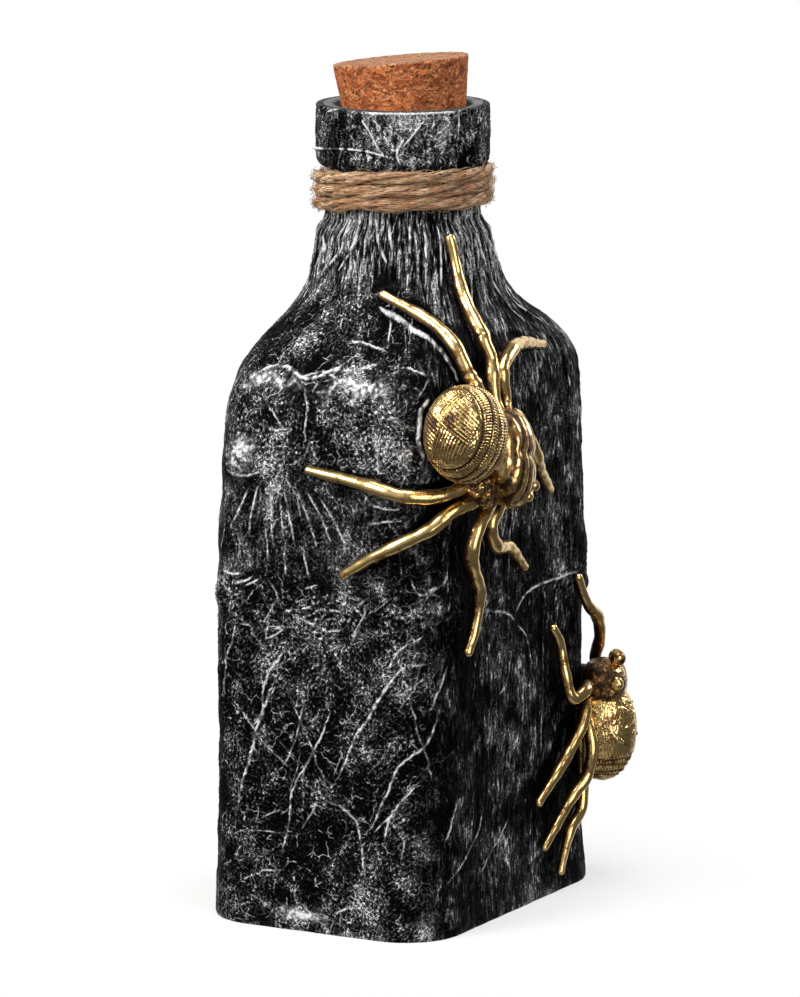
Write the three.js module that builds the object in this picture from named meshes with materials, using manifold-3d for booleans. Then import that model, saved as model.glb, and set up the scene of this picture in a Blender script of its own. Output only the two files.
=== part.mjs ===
// A decorative bottle: a glass bottle of rectangular section covered in crumpled black paper,
// with a cork set crooked in its mouth, twine wound round the neck and two cast spiders on its skin.
// Millimetres, +Z up, base on z = 0, narrow face toward -Y, wide face toward +X.
import * as THREE from 'three';
import { mergeVertices } from 'three/addons/utils/BufferGeometryUtils.js';
import Module from 'manifold-3d';

const wasm = await Module();
wasm.setup();
const { Manifold } = wasm;

// The bottle over its paper skin
const bodyWidth = 64.4;
const bodyDepth = 90.8;
const cornerRadius = 14.3;
const topShare = 0.972;
const baseEdgeRadius = 3;
const neckRadius = 20.8;
const throatRadius = 18.4;
const lipRadius = 21;
const lapHeight = 79;

// Heights, from the rim down: the neck and shoulder keep their shape below the rim
const rimHeight = 196;
const lipHeight = 14;
const throatLength = 12.5;
const throatFlare = 5;
const shoulderUpperRise = 21.3;
const shoulderLowerRise = 25.2;
const lipStart = rimHeight - lipHeight;
const throatStart = lipStart - throatLength;
const neckStart = throatStart - throatFlare;
const shoulderMiddle = neckStart - shoulderUpperRise;
const shoulderStart = shoulderMiddle - shoulderLowerRise;

// Half lengths of the flat parts of the section, between the corners
const coreX = bodyWidth / 2 - cornerRadius;
const coreY = bodyDepth / 2 - cornerRadius;

// Walls and clearances
const paperThickness = 1;
const clearance = 0.3;
const glassWall = 3.2;
const glassFloor = 6;
const mouthRadius = 16.8;
const boreRadius = 15.4;
const mouthDepth = 10;

// Cork
const corkTopRadius = 16.4;
const corkBottomRadius = 13.3;
const corkLength = 24.5;
const corkProud = 10.6;
const corkLean = 5.5;
const corkCrossing = 3.5;
const corkLeanHeading = 180;

// Twine
const twineDiameter = 2.9;
const twineTurns = 2.75;
const twinePitch = 3.33;
const twineStartAngle = 164;
const twineSeat = 0.45;

// Spider, as cast at size 1: half lengths along, across and off the skin
const abdomenHalf = [9.6, 9, 7.1];
const headHalf = [6.6, 7.6, 5.2];
const eyeRadius = 1.45;
const legRadius = 1.32;
const legTipShare = 0.6;
const legRootAngles = [36, 8, -20, -46];

// Where the waists sit: past the nearest corner's start along the girth, and above the shoulder's start
const upperWaistPastCorner = 1.1;
const upperWaistAboveShoulder = 1.7;
const lowerWaistPastCorner = 5.9;
const lowerWaistHeight = 43.4;

// Each leg is given from its second joint to its tip: girth and height from the spider's waist, then
// the distance of its centre off the skin
const upperSpider = {
  girth: upperWaistPastCorner - coreY,
  height: shoulderStart + upperWaistAboveShoulder,
  heading: -20,
  size: 1.28,
  lift: 8,
  left: [
    [[26.5, -5, 6.3], [33, -10.6, 4.4], [44.5, -18.2, 1.6]],
    [[11, 14.2, 6], [17.2, 17.4, 6], [32, 18.5, 4], [51, 17, 1.6]],
    [[5.8, 17, 5.2], [-1.4, 22, 5], [-6.2, 31, 3], [-8.2, 44.2, 1.6]],
    [[-3.6, 14.6, 4.6], [-7.7, 20.6, 4.6], [-14, 27.3, 3], [-20.1, 32.8, 1.6]],
  ],
  right: [
    [[6.6, -20.6, 5], [10.6, -26.2, 4.2], [19.4, -28, 3.2], [31, -35.2, 1.6]],
    [[-1.1, -19.2, 6], [-2.2, -27.2, 4.6], [4.4, -37.2, 3], [3.4, -46.2, 2], [0.4, -51.7, 1.6]],
    [[-7.6, -14.7, 5.6], [-11.6, -18.7, 4.6], [-17.6, -22.7, 3], [-32.6, -31.7, 1.6]],
    [[-5.6, -9.8, 4.8], [-10.4, -11, 4.6], [-16.1, -10.8, 4.6], [-23, -9, 3.2], [-42.6, -6.6, 1.6]],
  ],
};
const lowerSpider = {
  girth: coreY + lowerWaistPastCorner,
  height: lowerWaistHeight,
  heading: 90,
  size: 0.92,
  lift: 6.85,
  left: [
    [[-11, 6.9, 5.4], [-16.3, 6.6, 4.5], [-16.3, 13, 2.8], [-21.1, 24.5, 1.3]],
    [[-11.8, -2, 4.6], [-17.2, -8, 3.6], [-22.8, -13.1, 2.6], [-29.9, -19.1, 1.3]],
    [[-9.6, -8.6, 6.2], [-10.3, -15, 5], [-14.5, -19.6, 3.2], [-26.8, -31, 1.3]],
    [[-6.3, -3.5, 2], [-6.5, -11, 1.7], [-7.1, -18, 2.2], [-9.5, -24, 3], [-14.7, -28, 2.7], [-17.9, -39, 1.3]],
  ],
  right: [
    [[4, 17, 6.5], [1, 22.5, 5], [-3.5, 26.5, 3], [-7.5, 34, 1.3]],
    [[13.5, 6.5, 5], [19, 7.5, 4.4], [19, 14, 2.8], [23.5, 24, 1.3]],
    [[12.5, -4, 4.6], [19.5, -10, 3.6], [31.5, -20, 1.3]],
    [[9, -3.5, 4.6], [11, -11, 5], [11.5, -18, 4.4], [16, -23.5, 3], [27, -32, 1.3]],
  ],
};

const pointsPerCorner = 7;
const legSteps = 12;
const legSides = 8;

const radians = THREE.MathUtils.degToRad;
const group = new THREE.Group();

function material(color, roughness, metalness) {
  return new THREE.MeshStandardMaterial({ color, roughness, metalness });
}

function addPiece(name, geometry, look) {
  const mesh = new THREE.Mesh(geometry, look);
  mesh.name = name;
  group.add(mesh);
}

// A closed surface from its points and triangles, turned to face outward
function solid(points, triangles) {
  let volume = 0;
  for (const [i, j, k] of triangles) {
    volume += points[i].dot(points[j].clone().cross(points[k]));
  }
  const flat = [];
  for (const [i, j, k] of triangles) {
    if (volume > 0) {
      flat.push(i, j, k);
    } else {
      flat.push(i, k, j);
    }
  }
  const geometry = new THREE.BufferGeometry();
  const numbers = points.flatMap((point) => [point.x, point.y, point.z]);
  geometry.setAttribute('position', new THREE.Float32BufferAttribute(numbers, 3));
  geometry.setIndex(flat);
  geometry.computeVertexNormals();
  return geometry;
}

// Triangles between neighbouring rings of the same number of points
function wallBetween(rings, closedLoop) {
  const count = rings[0].length;
  const triangles = [];
  const last = closedLoop ? rings.length : rings.length - 1;
  for (let row = 0; row < last; row += 1) {
    const here = row * count;
    const there = ((row + 1) % rings.length) * count;
    for (let i = 0; i < count; i += 1) {
      const next = (i + 1) % count;
      triangles.push([here + i, here + next, there + next]);
      triangles.push([here + i, there + next, there + i]);
    }
  }
  return triangles;
}

// A solid from rings closed by a flat or domed cap at both ends
function cappedSolid(rings, firstCentre, lastCentre) {
  const count = rings[0].length;
  const points = rings.flat();
  const triangles = wallBetween(rings, false);
  const first = points.length;
  points.push(firstCentre, lastCentre);
  const lastRow = (rings.length - 1) * count;
  for (let i = 0; i < count; i += 1) {
    const next = (i + 1) % count;
    triangles.push([first, next, i]);
    triangles.push([first + 1, lastRow + i, lastRow + next]);
  }
  return solid(points, triangles);
}

// A solid like a collar, whose rings run up its outside and back down its inside
function collarSolid(rings) {
  return solid(rings.flat(), wallBetween(rings, true));
}

// The fullness of the section: 1 on the straight body, 0 where the neck is round
const shoulderLower = new THREE.CubicBezierCurve(
  new THREE.Vector2(shoulderStart, 1),
  new THREE.Vector2(THREE.MathUtils.lerp(shoulderStart, shoulderMiddle, 0.48), 1),
  new THREE.Vector2(THREE.MathUtils.lerp(shoulderStart, shoulderMiddle, 0.8), 0.775),
  new THREE.Vector2(shoulderMiddle, 0.5),
);
const shoulderUpper = new THREE.CubicBezierCurve(
  new THREE.Vector2(shoulderMiddle, 0.5),
  new THREE.Vector2(THREE.MathUtils.lerp(shoulderMiddle, neckStart, 0.25), 0.2),
  new THREE.Vector2(THREE.MathUtils.lerp(shoulderMiddle, neckStart, 0.55), 0.02),
  new THREE.Vector2(neckStart, 0),
);

function fullness(z) {
  if (z <= shoulderStart) return 1;
  if (z >= neckStart) return 0;
  const curve = z < shoulderMiddle ? shoulderLower : shoulderUpper;
  let low = 0;
  let high = 1;
  for (let step = 0; step < 40; step += 1) {
    const middle = (low + high) / 2;
    if (curve.getPoint(middle).x < z) low = middle;
    else high = middle;
  }
  return curve.getPoint((low + high) / 2).y;
}

// How far the rounded lower edge draws the section in
function edgeInset(z) {
  if (z >= baseEdgeRadius) return 0;
  const rise = baseEdgeRadius - z;
  return baseEdgeRadius - Math.sqrt(baseEdgeRadius ** 2 - rise ** 2);
}

function neckOutline(z) {
  const share = THREE.MathUtils.smoothstep(z, neckStart, throatStart);
  return THREE.MathUtils.lerp(neckRadius, throatRadius, share);
}

// The section over the skin at a height: half width, half depth, corner radius
function skinSection(z) {
  const share = 1 - (1 - topShare) * Math.min(1, z / shoulderMiddle);
  const full = fullness(z);
  const neck = z > neckStart ? neckOutline(z) : neckRadius;
  const inset = edgeInset(z);
  return {
    z,
    a: THREE.MathUtils.lerp(neck, (bodyWidth / 2) * share, full) - inset,
    b: THREE.MathUtils.lerp(neck, (bodyDepth / 2) * share, full) - inset,
    r: THREE.MathUtils.lerp(neck, cornerRadius, full) - inset,
  };
}

function circleSection(radius, z) {
  return { z, a: radius, b: radius, r: radius };
}

function ring(section) {
  const points = [];
  for (let corner = 0; corner < 4; corner += 1) {
    const sideX = corner === 0 || corner === 3 ? 1 : -1;
    const sideY = corner < 2 ? 1 : -1;
    for (let i = 0; i < pointsPerCorner; i += 1) {
      const angle = radians(90 * corner + (90 / pointsPerCorner) * (i + 0.5));
      const x = sideX * (section.a - section.r) + section.r * Math.cos(angle);
      const y = sideY * (section.b - section.r) + section.r * Math.sin(angle);
      points.push(new THREE.Vector3(x, y, section.z));
    }
  }
  return points;
}

// The same outline moved inward, square to its slope above the lower edge
function insetOutline(sections, distance) {
  return sections.map((section, i) => {
    const below = sections[Math.max(0, i - 1)];
    const above = sections[Math.min(sections.length - 1, i + 1)];
    const run = (above.a + above.b - below.a - below.b) / 2;
    const rise = above.z - below.z;
    const length = Math.hypot(run, rise);
    const level = section.z <= baseEdgeRadius || i === 0 || i === sections.length - 1;
    const out = level ? 1 : rise / length;
    const up = level ? 0 : -run / length;
    return {
      z: section.z - distance * up,
      a: section.a - distance * out,
      b: section.b - distance * out,
      r: Math.max(0.5, section.r - distance * out),
    };
  });
}

function heights(from, to, steps) {
  return Array.from({ length: steps + 1 }, (unused, i) => THREE.MathUtils.lerp(from, to, i / steps));
}

const edgeHeights = [0.17, 0.5, 1].map((share) => share * baseEdgeRadius);
const shoulderHeights = [
  ...heights(shoulderStart, shoulderMiddle, 6),
  ...heights(shoulderMiddle, neckStart, 5).slice(1),
];
const throatHeights = heights(neckStart, throatStart, 3).slice(1);

// Paper skin in three sheets
const lapGap = clearance / 2;
const bodyOutside = [...edgeHeights, lapHeight - lapGap].map(skinSection);
const bodyInside = insetOutline(bodyOutside, paperThickness).reverse();
const paper = material(0x1d1d1f, 0.5, 0.1);
addPiece('body_paper', collarSolid([...bodyOutside, ...bodyInside].map(ring)), paper);

const throatTop = lipStart - 0.7;
const shoulderOutside = [lapHeight + lapGap, ...shoulderHeights, ...throatHeights, throatTop].map(skinSection);
const shoulderInside = insetOutline(shoulderOutside, paperThickness).reverse();
addPiece('shoulder_paper', collarSolid([...shoulderOutside, ...shoulderInside].map(ring)), paper.clone());

const lipInside = lipRadius - paperThickness;
const lipSections = [
  circleSection(lipInside + 0.35, lipStart + 0.2),
  circleSection(lipRadius, lipStart + 1.4),
  circleSection(lipRadius, rimHeight - 1.5),
  circleSection(lipRadius - 0.35, rimHeight - 0.7),
  circleSection(lipInside, rimHeight - 0.7),
  circleSection(lipInside, lipStart + 0.2),
];
addPiece('lip_paper', collarSolid(lipSections.map(ring)), paper.clone());

// Glass bottle under the skin, with its base, lip, mouth and cavity
const skinDepth = paperThickness + clearance;
const glassLip = lipRadius - skinDepth;
const footSections = [0, ...edgeHeights].map(skinSection);
const bodySections = [...shoulderHeights, ...throatHeights].map(skinSection);
const glassOutside = insetOutline([...footSections, ...bodySections], skinDepth);
const glassTop = [
  circleSection(throatRadius - skinDepth, lipStart - 0.1),
  circleSection(glassLip - 0.7, lipStart + 0.2),
  circleSection(glassLip, lipStart + 1),
  circleSection(glassLip, rimHeight - 1),
  circleSection(glassLip - 0.8, rimHeight),
  circleSection(mouthRadius + 0.3, rimHeight),
  circleSection(mouthRadius, rimHeight - 0.4),
  circleSection(boreRadius, rimHeight - mouthDepth),
  circleSection(boreRadius, throatStart),
];
const cavityHeights = [glassFloor, glassFloor + 2, ...shoulderHeights.filter((unused, i) => i % 2 === 0)];
const cavityOutline = insetOutline(cavityHeights.map(skinSection), skinDepth + glassWall);
const cavityFloor = cavityOutline[0];
cavityFloor.a -= 2;
cavityFloor.b -= 2;
cavityFloor.r -= 2;
const glassSections = [...glassOutside, ...glassTop, ...cavityOutline.reverse()];
const glassGeometry = cappedSolid(
  glassSections.map(ring),
  new THREE.Vector3(0, 0, 0),
  new THREE.Vector3(0, 0, cavityFloor.z),
);
addPiece('glass_bottle', glassGeometry, material(0x2a2f2e, 0.25, 0));

// Cork, tapered, leaning as it wedges in the mouth; its axis crosses the bottle's just above the rim
const leanAxis = new THREE.Vector3(
  Math.cos(radians(corkLeanHeading)) * Math.sin(radians(corkLean)),
  Math.sin(radians(corkLeanHeading)) * Math.sin(radians(corkLean)),
  Math.cos(radians(corkLean)),
);
const corkPivot = new THREE.Vector3(0, 0, rimHeight + corkCrossing);
const corkTurn = new THREE.Quaternion().setFromUnitVectors(new THREE.Vector3(0, 0, 1), leanAxis);
const corkTop = corkProud - corkCrossing;
const corkBottom = corkTop - corkLength;
const corkEdge = 0.7;
const corkSides = 32;
function corkRing(radius, level) {
  return Array.from({ length: corkSides }, (unused, i) => {
    const angle = (2 * Math.PI * i) / corkSides;
    const point = new THREE.Vector3(radius * Math.cos(angle), radius * Math.sin(angle), level);
    return point.applyQuaternion(corkTurn).add(corkPivot);
  });
}
function corkCentre(level) {
  return leanAxis.clone().multiplyScalar(level).add(corkPivot);
}
const corkRings = [
  corkRing(corkBottomRadius - corkEdge, corkBottom),
  corkRing(corkBottomRadius, corkBottom + corkEdge),
  corkRing(corkTopRadius, corkTop - corkEdge),
  corkRing(corkTopRadius - corkEdge, corkTop),
];
const corkGeometry = cappedSolid(corkRings, corkCentre(corkBottom), corkCentre(corkTop));
addPiece('cork_stopper', corkGeometry, material(0xb8824f, 0.9, 0));

// Twine, one unbroken tube with straight ends
const twineRadius = twineDiameter / 2;
const twineReach = throatRadius + twineSeat + twineRadius;
const twineSteps = Math.round(24 * twineTurns);
const twineRise = twinePitch * twineTurns;
const twineLowest = (throatStart + throatTop - twineRise) / 2;
const twineSides = 6;
function twinePoint(turn) {
  const angle = radians(twineStartAngle) + 2 * Math.PI * turn;
  const level = twineLowest + twinePitch * turn;
  return new THREE.Vector3(twineReach * Math.cos(angle), twineReach * Math.sin(angle), level);
}
function twineHeading(turn) {
  const angle = radians(twineStartAngle) + 2 * Math.PI * turn;
  const level = twinePitch / (2 * Math.PI * twineReach);
  return new THREE.Vector3(-Math.sin(angle), Math.cos(angle), level).normalize();
}
function twineRing(centre, turn) {
  const angle = radians(twineStartAngle) + 2 * Math.PI * turn;
  const out = new THREE.Vector3(Math.cos(angle), Math.sin(angle), 0);
  const up = new THREE.Vector3().crossVectors(out, twineHeading(turn)).normalize();
  return Array.from({ length: twineSides }, (unused, i) => {
    const around = (2 * Math.PI * (i + 0.5)) / twineSides;
    return centre.clone()
      .addScaledVector(out, twineRadius * Math.cos(around))
      .addScaledVector(up, twineRadius * Math.sin(around));
  });
}
const twineStart = twinePoint(0).addScaledVector(twineHeading(0), -twineDiameter);
const twineEnd = twinePoint(twineTurns).addScaledVector(twineHeading(twineTurns), twineDiameter);
const twineTurnList = heights(0, twineTurns, twineSteps);
const twineRings = [
  twineRing(twineStart, 0),
  ...twineTurnList.map((turn) => twineRing(twinePoint(turn), turn)),
  twineRing(twineEnd, twineTurns),
];
addPiece('neck_twine', cappedSolid(twineRings, twineStart, twineEnd), material(0x8a6a45, 0.95, 0));

const twineSamples = [twineStart, ...heights(0, twineTurns, twineSteps * 4).map(twinePoint), twineEnd];
let twineGap = Infinity;
twineSamples.forEach((point, i) => {
  for (let j = i + 40; j < twineSamples.length; j += 1) {
    twineGap = Math.min(twineGap, point.distanceTo(twineSamples[j]) - twineDiameter);
  }
});
console.log(`neck_twine least gap between turns ${twineGap.toFixed(2)} mm`);

// A place on the skin from its girth, measured round the body from the middle of the +X face toward +Y
const cornerArc = (cornerRadius * Math.PI) / 2;
const girthParts = [2 * coreY, cornerArc, 2 * coreX, cornerArc, 2 * coreY, cornerArc, 2 * coreX, cornerArc];
const fullGirth = girthParts.reduce((sum, part) => sum + part, 0);

function outlinePoint(girth, z) {
  const section = skinSection(z);
  const x = section.a - section.r;
  const y = section.b - section.r;
  let left = THREE.MathUtils.euclideanModulo(girth + coreY, fullGirth);
  let part = 0;
  while (part < 7 && left > girthParts[part]) {
    left -= girthParts[part];
    part += 1;
  }
  const share = left / girthParts[part];
  const corners = [[x, -y], [x, y], [x, y], [-x, y], [-x, y], [-x, -y], [-x, -y], [x, -y]];
  const from = corners[part];
  const to = corners[(part + 1) % 8];
  const angle = radians(90 * (part % 2 === 0 ? part / 2 : (part - 1) / 2 + share));
  return new THREE.Vector3(
    THREE.MathUtils.lerp(from[0], to[0], share) + section.r * Math.cos(angle),
    THREE.MathUtils.lerp(from[1], to[1], share) + section.r * Math.sin(angle),
    z,
  );
}

function skinNormal(girth, z) {
  const step = 0.05;
  const round = outlinePoint(girth + step, z).sub(outlinePoint(girth - step, z));
  const up = outlinePoint(girth, z + step).sub(outlinePoint(girth, z - step));
  return round.cross(up).normalize();
}

function skinPoint(girth, z, off) {
  return outlinePoint(girth, z).addScaledVector(skinNormal(girth, z), off);
}

// The girth, height and distance off the straight body of a point in space
function unrolled(point) {
  const section = skinSection(point.z);
  const reachX = section.a - section.r;
  const reachY = section.b - section.r;
  const x = THREE.MathUtils.clamp(point.x, -reachX, reachX);
  const y = THREE.MathUtils.clamp(point.y, -reachY, reachY);
  const dx = point.x - x;
  const dy = point.y - y;
  const girth = y * (coreY / reachY) + cornerRadius * Math.atan2(dy, dx);
  return new THREE.Vector3(girth, point.z, Math.hypot(dx, dy) - section.r);
}

// An egg-shaped body of revolution with ring grooves, in the spider's frame: along, across, off
function eggRings(half, place, rows, sides, grooves, depth) {
  const rings = [];
  for (let row = 1; row < rows; row += 1) {
    const angle = (Math.PI * row) / rows;
    const along = -Math.cos(angle);
    const groove = 1 - depth * (0.5 + 0.5 * Math.cos(grooves * angle * 2)) * Math.sin(angle);
    rings.push(Array.from({ length: sides }, (unused, i) => {
      const around = (2 * Math.PI * i) / sides;
      return place(
        along * half[0],
        Math.sin(angle) * groove * half[1] * Math.cos(around),
        Math.sin(angle) * groove * half[2] * Math.sin(around),
      );
    }));
  }
  return rings;
}

// An ellipsoid as a solid that can be joined to others
function eggSolid(half, centre, sides) {
  const sphere = new THREE.SphereGeometry(1, sides, Math.round(sides * 0.6));
  sphere.scale(half[0], half[1], half[2]).translate(centre[0], centre[1], centre[2]);
  sphere.deleteAttribute('normal');
  sphere.deleteAttribute('uv');
  const merged = mergeVertices(sphere, 1e-4);
  return new Manifold(new wasm.Mesh({
    numProp: 3,
    vertProperties: merged.getAttribute('position').array,
    triVerts: new Uint32Array(merged.index.array),
  }));
}

function manifoldGeometry(shape) {
  const mesh = shape.getMesh();
  const geometry = new THREE.BufferGeometry();
  const numbers = [];
  for (let i = 0; i < mesh.numVert; i += 1) {
    const at = i * mesh.numProp;
    numbers.push(mesh.vertProperties[at], mesh.vertProperties[at + 1], mesh.vertProperties[at + 2]);
  }
  geometry.setAttribute('position', new THREE.Float32BufferAttribute(numbers, 3));
  geometry.setIndex(Array.from(mesh.triVerts));
  geometry.computeVertexNormals();
  return geometry;
}

function addSpider(name, spider) {
  const gold = material(0xb28a3c, 0.35, 0.9);
  const size = spider.size;
  const anchor = outlinePoint(spider.girth, spider.height);
  const off = skinNormal(spider.girth, spider.height);
  const up = new THREE.Vector3(0, 0, 1).addScaledVector(off, -off.z).normalize();
  const round = new THREE.Vector3().crossVectors(up, off).normalize();
  const ahead = round.clone().multiplyScalar(Math.cos(radians(spider.heading)))
    .addScaledVector(up, Math.sin(radians(spider.heading)));
  const side = new THREE.Vector3().crossVectors(off, ahead).normalize();
  const origin = anchor.clone().addScaledVector(off, spider.lift);
  const place = (along, across, lift) => origin.clone()
    .addScaledVector(ahead, along)
    .addScaledVector(side, across)
    .addScaledVector(off, lift);

  // Abdomen behind the waist
  const abdomen = abdomenHalf.map((half) => half * size);
  const abdomenMiddle = -(abdomen[0] + clearance / 2);
  const atAbdomen = (along, across, lift) => place(abdomenMiddle + along, across, lift);
  const abdomenRings = eggRings(abdomen, atAbdomen, 16, 18, 6, 0.035);
  const abdomenGeometry = cappedSolid(abdomenRings, atAbdomen(-abdomen[0], 0, 0), atAbdomen(abdomen[0], 0, 0));
  addPiece(`${name}_abdomen`, abdomenGeometry, gold.clone());

  // Head and chest in one casting, with two eyes and two jaws
  const head = headHalf.map((half) => half * size);
  const headMiddle = head[0] + clearance / 2;
  const basis = new THREE.Matrix4().makeBasis(ahead, side, off);
  basis.setPosition(place(headMiddle, 0, 0));
  const eyeAt = [head[0] * 0.72, head[1] * 0.42, head[2] * 0.68];
  const eye = eyeRadius * size;
  const jawAt = [head[0] * 0.86, head[1] * 0.3, -head[2] * 0.42];
  const jawHalf = [2.1 * size, 1.4 * size, 1.7 * size];
  const lumps = [eggSolid(head, [0, 0, 0], 16)];
  for (const hand of [-1, 1]) {
    lumps.push(eggSolid([eye, eye, eye], [eyeAt[0], hand * eyeAt[1], eyeAt[2]], 10));
    lumps.push(eggSolid(jawHalf, [jawAt[0], hand * jawAt[1], jawAt[2]], 10));
  }
  const headShape = Manifold.union(lumps).transform(basis.toArray());
  addPiece(`${name}_head`, manifoldGeometry(headShape), gold.clone());

  // Legs, from the side of the chest down to the skin
  const radius = legRadius * size;
  for (const hand of ['left', 'right']) {
    spider[hand].forEach((leg, index) => {
      const across = hand === 'left' ? 1 : -1;
      const spread = radians(legRootAngles[index]);
      const rootLift = -0.25 * head[2];
      const belt = Math.sqrt(1 - 0.25 ** 2);
      const rootX = head[0] * Math.sin(spread) * belt;
      const rootY = across * head[1] * Math.cos(spread) * belt;
      const square = new THREE.Vector3(rootX / head[0] ** 2, rootY / head[1] ** 2, rootLift / head[2] ** 2);
      square.normalize();
      const rootAt = (reach) => place(
        headMiddle + rootX + square.x * reach,
        rootY + square.y * reach,
        rootLift + square.z * reach,
      );
      const knots = [rootAt(clearance), rootAt(clearance + 2.4 * size)].map(unrolled);
      for (const [girth, height, lift] of leg) {
        knots.push(new THREE.Vector3(spider.girth + girth, spider.height + height, lift));
      }
      const path = new THREE.CatmullRomCurve3(knots, false, 'centripetal');
      const shares = heights(0, 1, legSteps).map((share) => share ** 1.4);
      const centres = shares.map((share) => {
        const knot = path.getPointAt(share);
        const thick = radius * legThickness(share);
        return skinPoint(knot.x, knot.y, Math.max(knot.z, thick + clearance));
      });
      const rings = centres.map((centre, i) => {
        const before = centres[Math.max(0, i - 1)];
        const after = centres[Math.min(legSteps, i + 1)];
        const along = i === 0 ? rootAt(1).sub(rootAt(0)) : after.clone().sub(before);
        return legRing(centre, along.normalize(), radius * legThickness(shares[i]));
      });
      const twisted = alignRings(rings);
      const legGeometry = cappedSolid(twisted, centres[0], centres[legSteps]);
      addPiece(`${name}_${hand}_leg_${index + 1}`, legGeometry, gold.clone());
    });
  }
}

// Share of the full leg radius from root to tip
function legThickness(share) {
  const root = 0.72 + 0.28 * THREE.MathUtils.smoothstep(share, 0, 0.12);
  return root * THREE.MathUtils.lerp(1, legTipShare, THREE.MathUtils.smoothstep(share, 0.3, 1));
}

function legRing(centre, along, radius) {
  const helper = Math.abs(along.z) < 0.9 ? new THREE.Vector3(0, 0, 1) : new THREE.Vector3(1, 0, 0);
  const first = new THREE.Vector3().crossVectors(along, helper).normalize();
  const second = new THREE.Vector3().crossVectors(along, first);
  return Array.from({ length: legSides }, (unused, i) => {
    const angle = (2 * Math.PI * i) / legSides;
    return centre.clone()
      .addScaledVector(first, radius * Math.cos(angle))
      .addScaledVector(second, radius * Math.sin(angle));
  });
}

// Starts every ring at the point nearest the first point of the ring before it
function alignRings(rings) {
  const aligned = [rings[0]];
  for (let row = 1; row < rings.length; row += 1) {
    const target = aligned[row - 1];
    let best = 0;
    let least = Infinity;
    for (let shift = 0; shift < legSides; shift += 1) {
      let sum = 0;
      for (let i = 0; i < legSides; i += 1) {
        sum += rings[row][(i + shift) % legSides].distanceTo(target[i]);
      }
      if (sum < least) {
        least = sum;
        best = shift;
      }
    }
    aligned.push(rings[row].map((unused, i) => rings[row][(i + best) % legSides]));
  }
  return aligned;
}

addSpider('upper_spider', upperSpider);
addSpider('lower_spider', lowerSpider);

export default group;
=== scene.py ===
"""A corked bottle in crumpled black paper brushed with silver, with twine on its neck and two gilt spiders.

Sizes are in millimetres and turn to metres where a mesh is made. The girth is measured round the body
from the middle of the +X face toward +Y, and the height up from the base.
"""
import math

import bpy
import numpy as np
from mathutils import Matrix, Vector, noise


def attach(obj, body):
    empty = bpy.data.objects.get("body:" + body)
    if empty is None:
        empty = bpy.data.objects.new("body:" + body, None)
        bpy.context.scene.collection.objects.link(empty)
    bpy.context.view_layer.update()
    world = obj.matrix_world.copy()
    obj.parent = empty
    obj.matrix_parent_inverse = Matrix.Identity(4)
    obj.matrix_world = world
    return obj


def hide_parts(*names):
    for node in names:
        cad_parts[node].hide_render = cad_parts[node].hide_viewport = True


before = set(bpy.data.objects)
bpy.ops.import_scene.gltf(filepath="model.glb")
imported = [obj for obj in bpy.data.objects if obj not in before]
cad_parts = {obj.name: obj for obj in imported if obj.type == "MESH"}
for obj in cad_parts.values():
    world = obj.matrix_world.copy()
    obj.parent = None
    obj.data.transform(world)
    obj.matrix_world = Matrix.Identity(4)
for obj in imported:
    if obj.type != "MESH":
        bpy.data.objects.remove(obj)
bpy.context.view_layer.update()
scene = bpy.context.scene
scene.view_settings.view_transform = "Standard"

# Millimetres in a metre
MM = 1000

# The photograph and its camera, which looks at AIM where AIM_PIXEL shows it
IMAGE_WIDTH = 800
IMAGE_HEIGHT = 997
SENSOR = 36
AZIMUTH = math.radians(29.0)
ELEVATION = math.radians(10.2)
DISTANCE = 1600.0
FOCAL = 6560.0
NEAREST = 0.05
FARTHEST = 50
AIM_PIXEL = (403.0, 494.0)
AIM = np.array([0.0, 0.0, 100.0])
BACK = np.array([
    math.sin(AZIMUTH) * math.cos(ELEVATION),
    -math.cos(AZIMUTH) * math.cos(ELEVATION),
    math.sin(ELEVATION),
])
RIGHT = np.array([math.cos(AZIMUTH), math.sin(AZIMUTH), 0.0])
UP = np.cross(BACK, RIGHT)
EYE = AIM + DISTANCE * BACK

# The bottle over its paper, close to the solids
BODY_WIDTH = 64.4
BODY_DEPTH = 90.8
CORNER = 14.3
TOP_SHARE = 0.972
BASE_EDGE = 0.8
SHOULDER_START = 118.0
SHOULDER_MIDDLE = 143.2
NECK_START = 164.5
THROAT_START = 169.5
LIP_START = 182.0
RIM = 196.0
NECK_RADIUS = 20.8
THROAT_RADIUS = 18.4
LIP_RADIUS = 21.0
LAP = 79.0
SKIN_DEPTH = 1.3
CORE_X = BODY_WIDTH / 2 - CORNER
CORE_Y = BODY_DEPTH / 2 - CORNER
ARC = CORNER * math.pi / 2

# Eight parts of the girth, four flat and four round, and the corner each one starts from
PARTS = np.array([2 * CORE_Y, ARC, 2 * CORE_X, ARC, 2 * CORE_Y, ARC, 2 * CORE_X, ARC])
PART_STARTS = np.concatenate([[0], np.cumsum(PARTS)[:-1]])
PART_X = np.array([1, 1, 1, -1, -1, -1, -1, 1])
PART_Y = np.array([-1, 1, 1, 1, 1, -1, -1, -1])
GIRTH = float(PARTS.sum())

# Girths of the middles of the narrow faces and of two corners
FRONT = -(CORE_Y + ARC + CORE_X)
REAR = FRONT + GIRTH / 2
LEFT_CORNER = FRONT - CORE_X - ARC / 2
FAR_CORNER = CORE_Y + ARC / 3

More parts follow.
